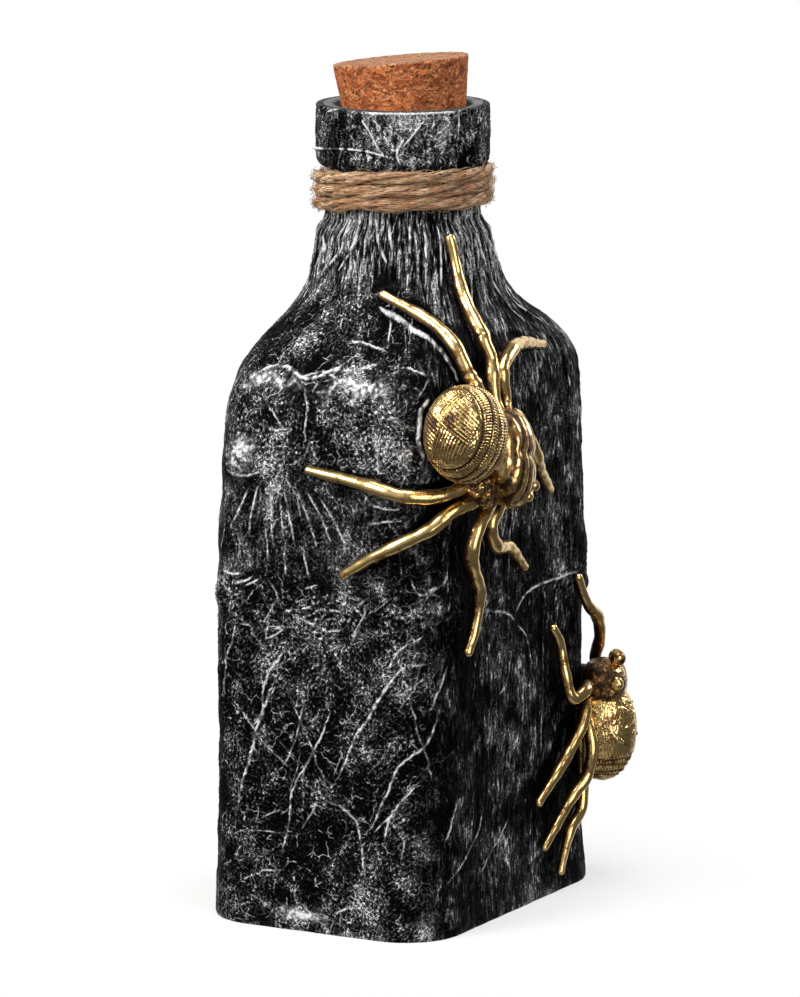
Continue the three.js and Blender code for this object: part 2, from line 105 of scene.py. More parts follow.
# Cork and twine
CORK_TOP_RADIUS = 16.4
CORK_BOTTOM_RADIUS = 13.3
CORK_LENGTH = 24.5
CORK_TOP = 7.1
CORK_EDGE = 0.55
CORK_LEAN = math.radians(5.5)
CORK_PIVOT = np.array([0.0, 0.0, 199.5])
TWINE_TURNS = 2.75
TWINE_PITCH = 3.33
TWINE_START = math.radians(164)
TWINE_REACH = 20.3
TWINE_HIGH_SIDE = math.radians(-61)
TWINE_LOWEST = (THROAT_START + LIP_START - 0.7 - TWINE_PITCH * TWINE_TURNS) / 2
TWINE_SINK = -1.2
TWINE_RIDE = 0.5

# Spiders: half sizes along, across and off the skin, and the legs' roots in degrees round the head
ABDOMEN_HALF = np.array([9.6, 9.0, 7.1])
HEAD_HALF = np.array([6.6, 7.6, 5.2])
LEG_RADIUS = 1.32
LEG_ROOTS = [36, 8, -20, -46]
ROOT_DROP = 0.25
CLEARANCE = 0.3
CUFF_PIXEL = (469, 381)

# Each leg's knots: girth and height from the spider's place, and distance off the skin
UPPER_SPIDER = {
    "girth": 1.1 - CORE_Y,
    "height": SHOULDER_START + 1.7,
    "heading": -20,
    "size": 1.28,
    "lift": 8,
    "stout": 1.02,
    "ringed": True,
    "cuffed": "left_leg_4",
    "left_shift": [0, 0, 0],
    "right_shift": [0, 0, 0],
    "left": [
        [[26.5, -5, 6.3], [33, -10.6, 4.4], [44.5, -18.2, 1.6]],
        [[11, 14.2, 6], [17.2, 17.4, 6], [32, 18.5, 4], [51, 17, 1.6]],
        [[5.8, 17, 5.2], [-1.4, 22, 5], [-6.2, 31, 3], [-8.9, 46.2, 1.6]],
        [[-3.6, 14.6, 4.6], [-7.7, 20.6, 4.6], [-14, 27.3, 3], [-20.1, 32.8, 1.6]],
    ],
    "right": [
        [[6.6, -20.6, 5], [10.6, -26.2, 4.2], [19.4, -28, 3.2], [31, -35.2, 1.6]],
        [[-1.1, -19.2, 6], [-2.2, -27.2, 4.6], [4.4, -37.2, 3], [3.4, -46.2, 2], [0.4, -51.7, 1.6]],
        [[-7.6, -14.7, 5.6], [-11.6, -18.7, 4.6], [-17.6, -22.7, 3], [-32.6, -31.7, 1.6]],
        [[-5.6, -9.8, 4.8], [-10.4, -11, 4.6], [-16.1, -10.8, 4.6], [-23, -9, 3.2], [-42.6, -6.6, 1.6]],
    ],
}
LOWER_SPIDER = {
    "girth": CORE_Y + 5.9,
    "height": 43.4,
    "heading": 90,
    "size": 0.92,
    "lift": 6.85,
    "stout": 1.25,
    "ringed": False,
    "left_shift": [-4.2, 0, -2.8],
    "right_shift": [-1, 0, -2.2],
    "abdomen_half": [13.2, 8.3, 8.8],
    "abdomen_middle": [-5.3, 0, -2.2],
    "left": [
        [[-11, 6.9, 5.4], [-16.3, 5.6, 4.3], [-17.8, 13, 2.8], [-18.6, 20, 2.0], [-21.6, 24.5, 1.3]],
        [[-11.8, -2, 4.6], [-17.2, -8, 3.6], [-22.8, -13.1, 2.6], [-29.9, -19.1, 1.3]],
        [[-9.6, -8.6, 6.2], [-10.3, -15, 5], [-14.5, -19.6, 3.2], [-26.8, -31, 1.3]],
        [
            [-6.3, -3.5, 2], [-6.5, -11, 1.7], [-7.1, -18, 2.2],
            [-9.5, -24, 3], [-14.7, -28, 2.7], [-17.9, -39, 1.3],
        ],
    ],
    "right": [
        [[3, 17, 4.5], [0.5, 22.5, 3.8], [-3.8, 26.5, 2.4], [-7.7, 35, 1.3]],
        [[13.5, 6.5, 5], [19, 7.5, 4.4], [19, 14, 2.8], [23.5, 24, 1.3]],
        [[12.5, -4, 4.6], [19.5, -10, 3.6], [31.5, -20, 1.3]],
        [[9, -3.5, 4.6], [11, -11, 5], [11.5, -18, 4.4], [16, -23.5, 3], [27, -32, 1.3]],
    ],
}


def make_camera():
    data = bpy.data.cameras.new("camera")
    camera = bpy.data.objects.new("camera", data)
    scene.collection.objects.link(camera)
    data.sensor_width = SENSOR
    data.lens = SENSOR * FOCAL / IMAGE_HEIGHT
    data.shift_x = (IMAGE_WIDTH / 2 - AIM_PIXEL[0]) / IMAGE_HEIGHT
    data.shift_y = (AIM_PIXEL[1] - IMAGE_HEIGHT / 2) / IMAGE_HEIGHT
    data.clip_start = NEAREST
    data.clip_end = FARTHEST
    camera.location = Vector(EYE / MM)
    camera.rotation_mode = "QUATERNION"
    camera.rotation_quaternion = Vector(-BACK).to_track_quat("-Z", "Y")
    scene.camera = camera


make_camera()


def smooth(low, high, value):
    share = np.clip((np.asarray(value, float) - low) / (high - low), 0, 1)
    return share * share * (3 - 2 * share)


def lerp(first, last, share):
    return first + (last - first) * share


def bump(value, middle, width):
    return np.exp(-(((value - middle) / width) ** 2))


def unit(vectors):
    return vectors / np.linalg.norm(vectors, axis=-1, keepdims=True)


def angles_round(count):
    return 2 * np.pi * np.arange(count) / count


def round_axis(radius, angle, z):
    """Points at a radius, an angle and a height round an axis."""
    return np.stack(np.broadcast_arrays(radius * np.cos(angle), radius * np.sin(angle), z), -1)


def run_along(points):
    """Length of a path up to each of its points."""
    return np.concatenate([[0], np.cumsum(np.linalg.norm(np.diff(points, axis=0), axis=1))])


# The skin's form


def bezier(points, share):
    p = np.array(points, float)
    t = share[:, None]
    return (1 - t) ** 3 * p[0] + 3 * (1 - t) ** 2 * t * p[1] + 3 * (1 - t) * t**2 * p[2] + t**3 * p[3]


def shoulder_table():
    """Heights up the shoulder, and how much of the body's section is left at each."""
    share = np.linspace(0, 1, 200)
    lower = bezier([
        (SHOULDER_START, 1),
        (lerp(SHOULDER_START, SHOULDER_MIDDLE, 0.48), 1),
        (lerp(SHOULDER_START, SHOULDER_MIDDLE, 0.8), 0.775),
        (SHOULDER_MIDDLE, 0.5),
    ], share)
    upper = bezier([
        (SHOULDER_MIDDLE, 0.5),
        (lerp(SHOULDER_MIDDLE, NECK_START, 0.25), 0.2),
        (lerp(SHOULDER_MIDDLE, NECK_START, 0.55), 0.02),
        (NECK_START, 0),
    ], share)
    return np.vstack([lower, upper[1:]])


SHOULDER = shoulder_table()


def skin_section(z):
    """Half width, half depth and corner radius of the section over the skin at heights z."""
    z = np.asarray(z, float)
    full = np.interp(z, SHOULDER[:, 0], SHOULDER[:, 1])
    share = 1 - (1 - TOP_SHARE) * np.minimum(1, z / SHOULDER_MIDDLE)
    neck = lerp(NECK_RADIUS, THROAT_RADIUS, smooth(NECK_START, THROAT_START, z))
    rise = np.clip(BASE_EDGE - z, 0, BASE_EDGE)
    inset = BASE_EDGE - np.sqrt(BASE_EDGE**2 - rise**2)
    a = lerp(neck, BODY_WIDTH / 2 * share, full) - inset
    b = lerp(neck, BODY_DEPTH / 2 * share, full) - inset
    r = lerp(neck, CORNER, full) - inset
    return a, b, r


def outline(girth, z):
    """Points of the skin at a girth, by shares of the section's eight parts, and a height."""
    girth, z = np.broadcast_arrays(np.asarray(girth, float), np.asarray(z, float))
    a, b, r = skin_section(z)
    left = np.mod(girth + CORE_Y, GIRTH)
    part = np.clip(np.searchsorted(PART_STARTS, left, side="right") - 1, 0, 7)
    share = (left - PART_STARTS[part]) / PARTS[part]
    after = (part + 1) % 8
    turn = np.where(part % 2 == 0, part / 2, (part - 1) / 2 + share) * math.pi / 2
    x = lerp(PART_X[part], PART_X[after], share) * (a - r) + r * np.cos(turn)
    y = lerp(PART_Y[part], PART_Y[after], share) * (b - r) + r * np.sin(turn)
    return np.stack([x, y, z], -1)


def quarter_length(z):
    a, b, r = skin_section(z)
    return (a - r) + (b - r) + r * math.pi / 2


def wrapped(girth, z, inward=0.0):
    """Points of the skin at a share of each section's own girth, moved level inward by a distance."""
    girth, z = np.broadcast_arrays(np.asarray(girth, float), np.asarray(z, float))
    a, b, r = skin_section(z)
    share = np.mod(girth / GIRTH, 1.0) * 4
    quarter = np.minimum(np.floor(share), 3)
    share = share - quarter
    share = np.where(quarter % 2 == 0, share, 1 - share)
    run = share * quarter_length(z)
    turn = np.clip((run - (b - r)) / r, 0, math.pi / 2)
    x = np.clip(quarter_length(z) - run, 0, a - r)
    y = np.minimum(run, b - r)
    reach = r - inward
    sign_x = np.where((quarter == 0) | (quarter == 3), 1, -1)
    sign_y = np.where(quarter < 2, 1, -1)
    return np.stack([sign_x * (x + reach * np.cos(turn)), sign_y * (y + reach * np.sin(turn)), z], -1)


def normal_of(form, girth, z):
    """Outward normals of a form of the skin, outline or wrapped."""
    step = 0.05
    z = np.maximum(np.asarray(z, float), step + 0.01)
    round_ = form(girth + step, z) - form(girth - step, z)
    up = form(girth, z + step) - form(girth, z - step)
    return unit(np.cross(round_, up))


def skin_point(girth, z, off):
    return outline(girth, z) + normal_of(outline, girth, z) * np.asarray(off)[..., None]


def unrolled(point):
    """Girth, height and distance off the body of a point in space."""
    a, b, r = skin_section(point[2])
    x = float(np.clip(point[0], -(a - r), a - r))
    y = float(np.clip(point[1], -(b - r), b - r))
    dx = point[0] - x
    dy = point[1] - y
    girth = y * (CORE_Y / (b - r)) + CORNER * math.atan2(dy, dx)
    return [girth, point[2], math.hypot(dx, dy) - float(r)]


def girth_of(points):
    """Girth on the even wrap of points near the skin."""
    z = points[..., 2]
    a, b, r = skin_section(z)
    px = np.abs(points[..., 0])
    py = np.abs(points[..., 1])
    x = np.minimum(px, a - r)
    y = np.minimum(py, b - r)
    turn = np.arctan2(py - y, np.maximum(px - x, 1e-9))
    share = (y + r * turn + (a - r - x)) / quarter_length(z) * GIRTH / 4
    first = np.where(points[..., 0] >= 0, share, GIRTH / 2 - share)
    return np.where(points[..., 1] >= 0, first, -first)


def to_pixels(points):
    rel = points - AIM
    scale = FOCAL / (DISTANCE - rel @ BACK)
    return np.stack([AIM_PIXEL[0] + scale * (rel @ RIGHT), AIM_PIXEL[1] - scale * (rel @ UP)], -1)


def toward_eye(points, normals):
    return np.einsum("ijk,ijk->ij", normals, unit(EYE - points))


# The grid over the unrolled skin on which the paper's relief is drawn once
COLUMNS = 1144
ROWS = 728
TOP = 182.0
U = -GIRTH / 2 + GIRTH * np.arange(COLUMNS) / COLUMNS
Z = np.linspace(0, TOP, ROWS)
UU, ZZ = np.meshgrid(U, Z)
STEP_U = GIRTH / COLUMNS
STEP_Z = TOP / (ROWS - 1)
WAVES_U = np.fft.rfftfreq(COLUMNS, STEP_U)[None, :]
WAVES_Z = np.fft.fftfreq(ROWS, STEP_Z)[:, None]
DRAWN_OUT = GIRTH / (4 * quarter_length(Z))
chance = np.random.default_rng(20)


def waves(size_u, size_z, tilt):
    """How many waves each term of the grid has in these sizes, along and across a tilt in degrees."""
    c = math.cos(math.radians(tilt))
    s = math.sin(math.radians(tilt))
    return (c * WAVES_U + s * WAVES_Z) * size_u, (c * WAVES_Z - s * WAVES_U) * size_z


def random_field(weight):
    """A random field whose terms have these weights, with a spread of 1."""
    white = np.fft.rfft2(chance.standard_normal((ROWS, COLUMNS)))
    field = np.fft.irfft2(white * weight, s=(ROWS, COLUMNS))
    return field / field.std()


def grain(size_u, size_z, tilt=0.0, rough=0.0):
    """A smooth random field with lumps of about these sizes."""
    along, across = waves(size_u, size_z, tilt)
    square = along**2 + across**2
    weight = np.exp(-square * 3.0) + rough / (1 + square * 6) ** 1.5
    weight[0, 0] = 0
    return random_field(weight)


def ripples(size_u, size_z, tilt=0.0, spread=0.35):
    """A random field of lines and grains about as far apart as these sizes."""
    return random_field(bump(np.hypot(*waves(size_u, size_z, tilt)), 1, spread))


def softened(field, size):
    weight = np.exp(-(WAVES_U**2 + WAVES_Z**2) * (size * 2.2) ** 2)
    return np.fft.irfft2(np.fft.rfft2(field) * weight, s=(ROWS, COLUMNS))


def gap_round(values, middle, length):
    """Distances from a middle on a loop of a length."""
    return np.abs(np.mod(values - middle + length / 2, length) - length / 2)


def girth_zone(middle, half, soft):
    return 1 - smooth(half - soft, half + soft, gap_round(UU, middle, GIRTH))


def height_zone(low, high, soft):
    return smooth(low - soft, low + soft, ZZ) * (1 - smooth(high - soft, high + soft, ZZ))


def spot(place, half_u, rise, half_z):
    """A soft spot on the grid about a girth and a height, raised by a distance."""
    return bump(UU, place[0], half_u) * bump(ZZ, place[1] + rise, half_z)


def sample(field, girth, z):
    """Values of a field between its points."""
    column = np.mod((girth - U[0]) / STEP_U, COLUMNS)
    row = np.clip(z / STEP_Z, 0, ROWS - 1.001)
    c0 = np.floor(column).astype(int) % COLUMNS
    r0 = np.floor(row).astype(int)
    c1 = (c0 + 1) % COLUMNS
    fc = column - np.floor(column)
    low = lerp(field[r0, c0], field[r0, c1], fc)
    high = lerp(field[r0 + 1, c0], field[r0 + 1, c1], fc)
    return lerp(low, high, row - r0)


def curve_through(knots, spacing=None, count=None):
    """Points at even lengths along a centripetal curve through the knots, by their spacing or their count."""
    p = np.array(knots, float)
    p = np.vstack([2 * p[0] - p[1], p, 2 * p[-1] - p[-2]])
    runs = []
    t = np.linspace(0, 1, 40, endpoint=False)[:, None]
    for p0, p1, p2, p3 in zip(p, p[1:], p[2:], p[3:]):
        d0, d1, d2 = (max(np.linalg.norm(d), 1e-6) ** 0.5 for d in (p1 - p0, p2 - p1, p3 - p2))
        m1 = ((p1 - p0) / d0 - (p2 - p0) / (d0 + d1) + (p2 - p1) / d1) * d1
        m2 = ((p2 - p1) / d1 - (p3 - p1) / (d1 + d2) + (p3 - p2) / d2) * d1
        first = (2 * t**3 - 3 * t**2 + 1) * p1 + (t**3 - 2 * t**2 + t) * m1
        runs.append(first + (3 * t**2 - 2 * t**3) * p2 + (t**3 - t**2) * m2)
    path = np.vstack(runs + [p[-2:-1]])
    length = run_along(path)
    if count is None:
        count = max(4, int(length[-1] / spacing) + 1)
    at = np.linspace(0, length[-1], count)
    return np.stack([np.interp(at, length, column) for column in path.T], 1)


def fade_at(i, count, start, rate):
    """Fades a line of points in from its start and out toward its end."""
    return min(1.0, start + rate * i / count, start + rate * (count - 1 - i) / count)


def press_line(field, path, width, height):
    """Raises a crease along a path of girths and heights, fading at its ends."""
    # A stamp ends where it has fallen to about a thousandth
    reach = 2.6 * width
    reach_z = int(reach / STEP_Z) + 1
    for i, (girth, z) in enumerate(path):
        drawn_out = np.interp(z, Z, DRAWN_OUT)
        reach_u = int(reach * drawn_out / STEP_U) + 1
        column = int(round((girth - U[0]) / STEP_U))
        row = int(round(z / STEP_Z))
        rows = np.arange(max(0, row - reach_z), min(ROWS, row + reach_z + 1))
        if len(rows) == 0:
            continue
        columns = np.arange(column - reach_u, column + reach_u + 1)
        du = (U[0] + columns * STEP_U - girth)[None, :] / drawn_out
        dz = (rows * STEP_Z - z)[:, None]
        stamp = height * fade_at(i, len(path), 0.25, 4) * np.exp(-(du**2 + dz**2) / width**2)
        place = np.ix_(rows, columns % COLUMNS)
        field[place] = np.maximum(field[place], stamp)


# Girths and heights of the skin that the camera sees, at every other point of the grid, and their pixels
COARSE_U = UU[::2, ::2]
COARSE_Z = ZZ[::2, ::2]
COARSE_SKIN = wrapped(COARSE_U, COARSE_Z)
SEEN = toward_eye(COARSE_SKIN, normal_of(wrapped, COARSE_U, COARSE_Z)) > 0.03
SEEN_PIXELS = to_pixels(COARSE_SKIN[SEEN])
SEEN_PLACES = np.stack([COARSE_U[SEEN], COARSE_Z[SEEN]], 1)


def on_skin(pixels):
    """Girths and heights where pixels of the photograph meet the skin."""
    return [SEEN_PLACES[np.argmin(((SEEN_PIXELS - pixel) ** 2).sum(1))] for pixel in pixels]


# Main creases as the photograph shows them, in its pixels, with a height in millimetres
FRONT_CREASES = [
    (0.8, [(276, 680), (260, 718), (247, 764), (242, 805)]),
    (0.5, [(234, 698), (259, 731), (279, 754), (294, 772)]),
    (0.8, [(390, 680), (373, 708), (361, 731), (350, 756), (339, 780)]),
    (0.7, [(442, 703), (433, 728), (422, 749), (399, 769), (384, 800), (371, 825), (363, 838)]),
    (0.5, [(287, 693), (302, 728), (315, 751), (333, 782)]),
    (0.6, [(333, 703), (322, 731), (312, 754), (294, 787), (289, 823), (282, 859)]),
    (0.5, [(407, 688), (419, 728), (425, 751), (435, 787)]),
    (0.6, [(425, 777), (402, 800), (389, 830), (386, 853)]),
    (0.6, [(322, 797), (343, 805), (356, 818), (363, 848), (370, 884)]),
    (0.5, [(371, 603), (358, 631), (349, 657)]),
    (0.7, [(425, 636), (396, 659), (384, 682)]),
    (0.6, [(430, 664), (399, 670), (379, 698), (368, 716)]),
    (0.6, [(447, 664), (437, 695), (430, 710)]),
    (0.7, [(289, 613), (310, 624), (330, 634), (345, 631)]),
    (0.7, [(287, 644), (266, 675), (261, 718)]),
    (0.6, [(238, 620), (230, 650), (226, 700)]),
    (0.5, [(407, 570), (419, 590), (445, 578), (450, 547)]),
    (0.5, [(333, 915), (358, 907), (379, 917)]),
    (0.5, [(240, 882), (262, 868), (279, 872)]),
]
FAN_FOLDS = [
    (0.8, [(249, 487), (236, 516), (230, 532)]),
    (0.7, [(259, 483), (252, 514), (251, 540)]),
    (0.7, [(271, 486), (271, 517), (273, 550)]),
    (0.5, [(278, 490), (282, 520), (284, 545)]),
    (0.7, [(284, 487), (291, 520), (297, 550)]),
    (0.7, [(295, 482), (307, 514), (317, 551)]),
    (0.6, [(305, 488), (323, 520), (335, 549)]),
    (0.6, [(317, 494), (334, 521), (348, 551)]),
    (0.5, [(266, 524), (268, 565)]),
    (0.6, [(285, 548), (287, 578)]),
    (0.6, [(303, 551), (311, 583)]),
    (0.5, [(226, 520), (223, 551)]),
    (0.5, [(242, 530), (240, 560)]),
    (0.6, [(365, 526), (385, 522), (405, 520)]),
    (0.6, [(372, 506), (395, 510), (402, 508)]),
]
SIDE_CREASES = [
    (0.9, [(575, 571), (557, 578), (539, 585), (524, 596), (515, 616)]),
    (0.7, [(516, 621), (501, 611), (486, 608)]),
    (0.6, [(515, 624), (524, 634), (532, 670)]),
    (0.6, [(511, 647), (506, 677), (496, 698)]),
    (0.7, [(455, 797), (451, 823), (445, 843)]),
    (0.6, [(483, 795), (478, 833), (463, 859), (442, 887)]),
    (0.5, [(511, 813), (501, 836), (488, 859), (478, 882)]),
    (0.5, [(543, 630), (543, 700), (541, 760)]),
    (0.6, [(447, 360), (452, 372), (456, 384)]),
]
SHOULDER_CREASES = [
    (0.5, [(343, 338), (366, 343), (389, 356)]),
    (0.5, [(390, 315), (389, 343)]),
    (0.5, [(358, 371), (384, 363)]),
    (0.5, [(404, 368), (427, 379)]),
    (0.8, [(246, 380), (262, 369), (284, 366), (302, 378), (322, 372), (343, 366)]),
    (0.9, [(226, 470), (240, 476), (262, 472)]),
    (0.5, [(252, 421), (270, 430), (290, 434)]),
    (0.6, [(304, 382), (307, 410), (309, 450)]),
    (0.5, [(262, 392), (272, 412), (286, 432)]),
    (0.7, [(328, 372), (346, 384), (362, 392)]),
]
BOLD_CREASES = [
    (1.1, [(379, 305), (404, 322), (430, 340), (445, 358), (453, 374)]),
    (1.2, [(428, 400), (421, 412), (418, 430), (419, 444), (424, 458)]),
    (0.35, [(246, 378), (262, 369), (284, 366), (302, 376), (322, 372), (343, 372), (372, 384)]),
]
NECK_FOLDS = [
    (1.0, [(351, 218), (343, 246), (322, 274)]),
    (1.0, [(361, 218), (356, 241), (338, 271)]),
    (1.1, [(376, 218), (379, 241), (386, 264)]),
    (0.9, [(389, 220), (391, 248)]),
    (0.8, [(331, 222), (326, 250), (312, 280)]),
    (0.8, [(423, 222), (425, 262)]),
    (0.8, [(436, 224), (440, 250), (441, 290)]),
    (0.7, [(410, 222), (410, 256)]),
    (0.8, [(470, 224), (482, 262), (500, 300), (524, 326)]),
    (0.8, [(478, 222), (494, 268), (514, 304), (545, 330)]),
]
LIP_CREASES = [
    (0.6, [(359, 116), (369, 130), (380, 151), (388, 158)]),
    (1.5, [(308, 144), (318, 148), (346, 149), (369, 152), (387, 157)]),
    (0.7, [(404, 138), (397, 155), (401, 166)]),
    (0.7, [(425, 119), (413, 135), (402, 148)]),
    (0.5, [(420, 137), (425, 152), (433, 147)]),
    (0.6, [(457, 112), (458, 130), (452, 141)]),
    (0.5, [(342, 118), (352, 136), (360, 147)]),
    (0.5, [(372, 117), (384, 132), (392, 141)]),
    (0.5, [(327, 112), (333, 110), (341, 108)]),
    (0.5, [(436, 122), (430, 134), (440, 142)]),
    (0.6, [(462, 160), (448, 164), (440, 168)]),
]
CREASE_RISE = 0.8

# Random creases go in steps, with a kink now and then
CREASE_STEP = 0.35
KINK_CHANCE = 0.05
KINK_TURN = 0.35

# Groups of creases with a half width and how far they stray
CREASE_GROUPS = (
    (FRONT_CREASES, 0.38, 0.08),
    (FAN_FOLDS, 0.36, 0.03),
    (SIDE_CREASES, 0.38, 0.06),
    (SHOULDER_CREASES, 0.38, 0.08),
    (BOLD_CREASES, 0.54, 0.06),
    (NECK_FOLDS, 0.36, 0.03),
)

# Random creases about each middle: their count, half girth, heights, heading and its spread in degrees,
# lengths, rises and half width
RANDOM_CREASES = (
    ((FRONT, REAR), (
        (60, 30, (6, 72), (62, 18), (5, 24), (0.12, 0.42), 0.3),
        (50, 30, (6, 76), (122, 22), (4, 16), (0.12, 0.36), 0.3),
        (60, 32, (70, 88), (10, 35), (3, 10), (0.2, 0.55), 0.32),
        (60, 32, (84, 116), (88, 12), (5, 20), (0.12, 0.36), 0.3),
        (70, 34, (114, 150), (60, 60), (3, 12), (0.12, 0.36), 0.3),
    )),
    ((0, GIRTH / 2), (
        (110, 40, (4, 78), (88, 9), (5, 24), (0.1, 0.32), 0.28),
        (24, 40, (68, 88), (10, 35), (3, 10), (0.15, 0.4), 0.3),
        (130, 40, (78, 142), (90, 8), (6, 26), (0.12, 0.4), 0.3),
    )),
    ((0,), (
        (130, GIRTH / 2, (140, 168), (90, 3), (10, 28), (0.12, 0.45), 0.24),
        (90, GIRTH / 2, (1, 7), (0, 30), (2, 7), (0.1, 0.3), 0.3),
    )),
)


def wandering(start, heading, length, bend):
    """A crease that starts at a girth and a height and wanders off."""
    count = max(6, int(length / CREASE_STEP))
    turn = np.cumsum(chance.standard_normal(count)) * bend
    kinks = np.where(chance.random(count) < KINK_CHANCE, chance.standard_normal(count) * KINK_TURN, 0)
    angle = heading + turn + np.cumsum(kinks)
    return np.array(start) + np.cumsum(np.stack([np.cos(angle), np.sin(angle)], 1) * CREASE_STEP, 0)


def scatter_creases(field, middle, count, half, levels, headings, lengths, rises, width):
    for _ in range(count):
        girth = middle + (chance.random() * 2 - 1) * half
        z = lerp(*levels, chance.random())
        angle = math.radians(headings[0] + headings[1] * chance.standard_normal())
        length = lerp(*lengths, chance.random() ** 1.5)
        rise = lerp(*rises, chance.random() ** 2)
        path = wandering((girth, z), angle, length, 0.05)
        press_line(field, path, width * (0.8 + 0.5 * chance.random()), rise)


def press_creases():
    """Heights of the creases, first those of the photograph and then the random ones."""
    creases = np.zeros((ROWS, COLUMNS))
    for group, width, stray in CREASE_GROUPS:
        for rise, pixels in group:
            path = curve_through(on_skin(pixels), spacing=0.3)
            wave = np.cumsum(chance.standard_normal((len(path), 2)), 0) * stray
            press_line(creases, path + wave, width, CREASE_RISE * rise)
    for middles, kinds in RANDOM_CREASES:
        for middle in middles:
            for kind in kinds:
                scatter_creases(creases, middle, *kind)
    return creases


def spider_frame(spider):
    """Turns (along, across, off) of a spider into a place in the bottle's frame."""
    girth = np.array(spider["girth"])
    height = np.array(spider["height"])
    off = normal_of(outline, girth, height)
    up = unit(np.array([0, 0, 1.0]) - off * off[2])
    round_ = unit(np.cross(up, off))
    heading = math.radians(spider["heading"])
    ahead = round_ * math.cos(heading) + up * math.sin(heading)
    side = unit(np.cross(off, ahead))
    origin = outline(girth, height) + off * spider["lift"]
    turn = np.stack([ahead, side, off])

    def place(local):
        return origin + np.asarray(local) @ turn

    return place


def leg_paths(spider):
    """Names of the legs, and their knots as girth, height and distance off the skin, head first."""
    size = spider["size"]
    head = HEAD_HALF * size
    place = spider_frame(spider)
    belt = math.sqrt(1 - ROOT_DROP**2)
    made = []
    for hand, across in (("left", 1), ("right", -1)):
        middle = np.array([head[0] + CLEARANCE / 2, 0, 0]) + np.array(spider[f"{hand}_shift"])
        for index, leg in enumerate(spider[hand]):
            spread = math.radians(LEG_ROOTS[index])
            root = head * [math.sin(spread) * belt, across * math.cos(spread) * belt, -ROOT_DROP]
            square = unit(root / head**2)
            knots = [unrolled(place(middle + root + square * far)) for far in (-0.6, CLEARANCE + 2.4 * size)]
            for girth, height, lift in leg:
                knots.append([spider["girth"] + girth, spider["height"] + height, lift])
            made.append((f"{hand}_leg_{index + 1}", np.array(knots)))
    return made


def spider_shade_zone():
    """Where the spiders' legs and bodies lie close to the paper."""
    covered = np.zeros((ROWS, COLUMNS))
    for spider in (UPPER_SPIDER, LOWER_SPIDER):
        for _, knots in leg_paths(spider):
            laid = skin_point(*curve_through(knots, spacing=0.6).T)
            press_line(covered, np.stack([girth_of(laid), laid[:, 2]], 1), 2.6, 1.0)
        for along in (-ABDOMEN_HALF[0], HEAD_HALF[0]):
            middle = spider_frame(spider)(np.array([along * spider["size"], 0, 0]))
            far = np.hypot(gap_round(UU, float(girth_of(middle)), GIRTH), ZZ - middle[2])
            covered = np.maximum(covered, bump(far, 0, 8.0 * spider["size"]))
    return smooth(0.25, 0.8, covered)


# Zones of the skin
FACE_HALF = 30
FACE_SOFT = 8
ON_NECK = smooth(148, 160, ZZ)
ON_FRONT = girth_zone(FRONT, FACE_HALF, FACE_SOFT)
ON_FACES = np.clip(ON_FRONT + girth_zone(REAR, FACE_HALF, FACE_SOFT), 0, 1)
ON_SIDES = 1 - ON_FACES
ON_BODY = 1 - smooth(LAP - 6, LAP + 4, ZZ)
IN_FAN = height_zone(84, 114, 5)
ON_SHOULDER = height_zone(120, 150, 6)
ON_FRONT_LAP = ON_FRONT * height_zone(72, 84, 4)
ON_FRONT_BROW = ON_FRONT * height_zone(112, 130, 5)
ON_FRONT_SLOPE = ON_FRONT * height_zone(134, 152, 4)
AT_FOOT = height_zone(-9, 4, 3)
NECK_RING = bump(ZZ, 159, 5)

# Places of the photograph that stand out, in its pixels, and where they lie on the skin
PLACE_PIXELS = {
    "hollow": (258, 432),
    "brow": (362, 380),
    "left_brow": (265, 376),
    "ledge": (240, 466),
    "worn_foot": (300, 915),
    "worn_corner": (428, 932),
}
PLACES = dict(zip(PLACE_PIXELS, on_skin(PLACE_PIXELS.values())))

# Dents and swells: place, half girth, rise, half height and how far out
SWELLS = (
    (PLACES["hollow"], 5, 0, 6, -0.9),
    (PLACES["brow"], 7, 0, 4, 0.6),
    (PLACES["left_brow"], 10, 0, 4, 0.4),
    ((LEFT_CORNER, 128), 16, 0, 5, -0.6),
    ((LEFT_CORNER, 119), 16, 0, 6, -1.0),
    ((LEFT_CORNER, 106), 14, 0, 7, -0.8),
    ((LEFT_CORNER, 6), 14, 0, 20, 0.2),
    ((FAR_CORNER, 134), 14, 0, 5, 1.0),
    ((FAR_CORNER, LAP + 5), 12, 0, 6, 0.8),
    ((FAR_CORNER, LAP - 4.5), 12, 0, 2.6, 1.2),
    ((FAR_CORNER, 20), 12, 0, 12, -0.8),
)

# Silver is on a log scale: 0 is covered, and each step down leaves about a third as much
MEAN_TONE = -3.5
BARE_TONE = -8

# Brighter and darker spots: place, half girth, rise, half height and change of tone
TONE_SPOTS = (
    # The brows' spots are partly a painted highlight where the shoulder faces the lamps, partly denser silver
    (PLACES["brow"], 9, -2, 4, 1.8),
    (PLACES["left_brow"], 12, -1, 4, 1.2),
    (PLACES["ledge"], 7, 3, 6, 0.9),
    (PLACES["hollow"], 4, 0, 5, -1.2),
    (PLACES["worn_foot"], 8, 0, 2.4, 2.8),
    (PLACES["worn_corner"], 2.5, 0, 3, 2.0),
)

# Patches rubbed bright, those on the brows partly a painted highlight: place, half girth, rise, half height
# and tone
WORN_AND_HIGHLIGHT_PATCHES = (
    (PLACES["brow"], 15, -2, 5.0, -0.2),
    (PLACES["left_brow"], 18, -1, 3.4, -0.6),
    (PLACES["ledge"], 9, 3, 8, -0.9),
    (PLACES["worn_foot"], 12, 0, 2.8, 0.0),
)


def summed(terms):
    """Fields times their amounts, added up."""
    return sum(amount * field for amount, field in terms)


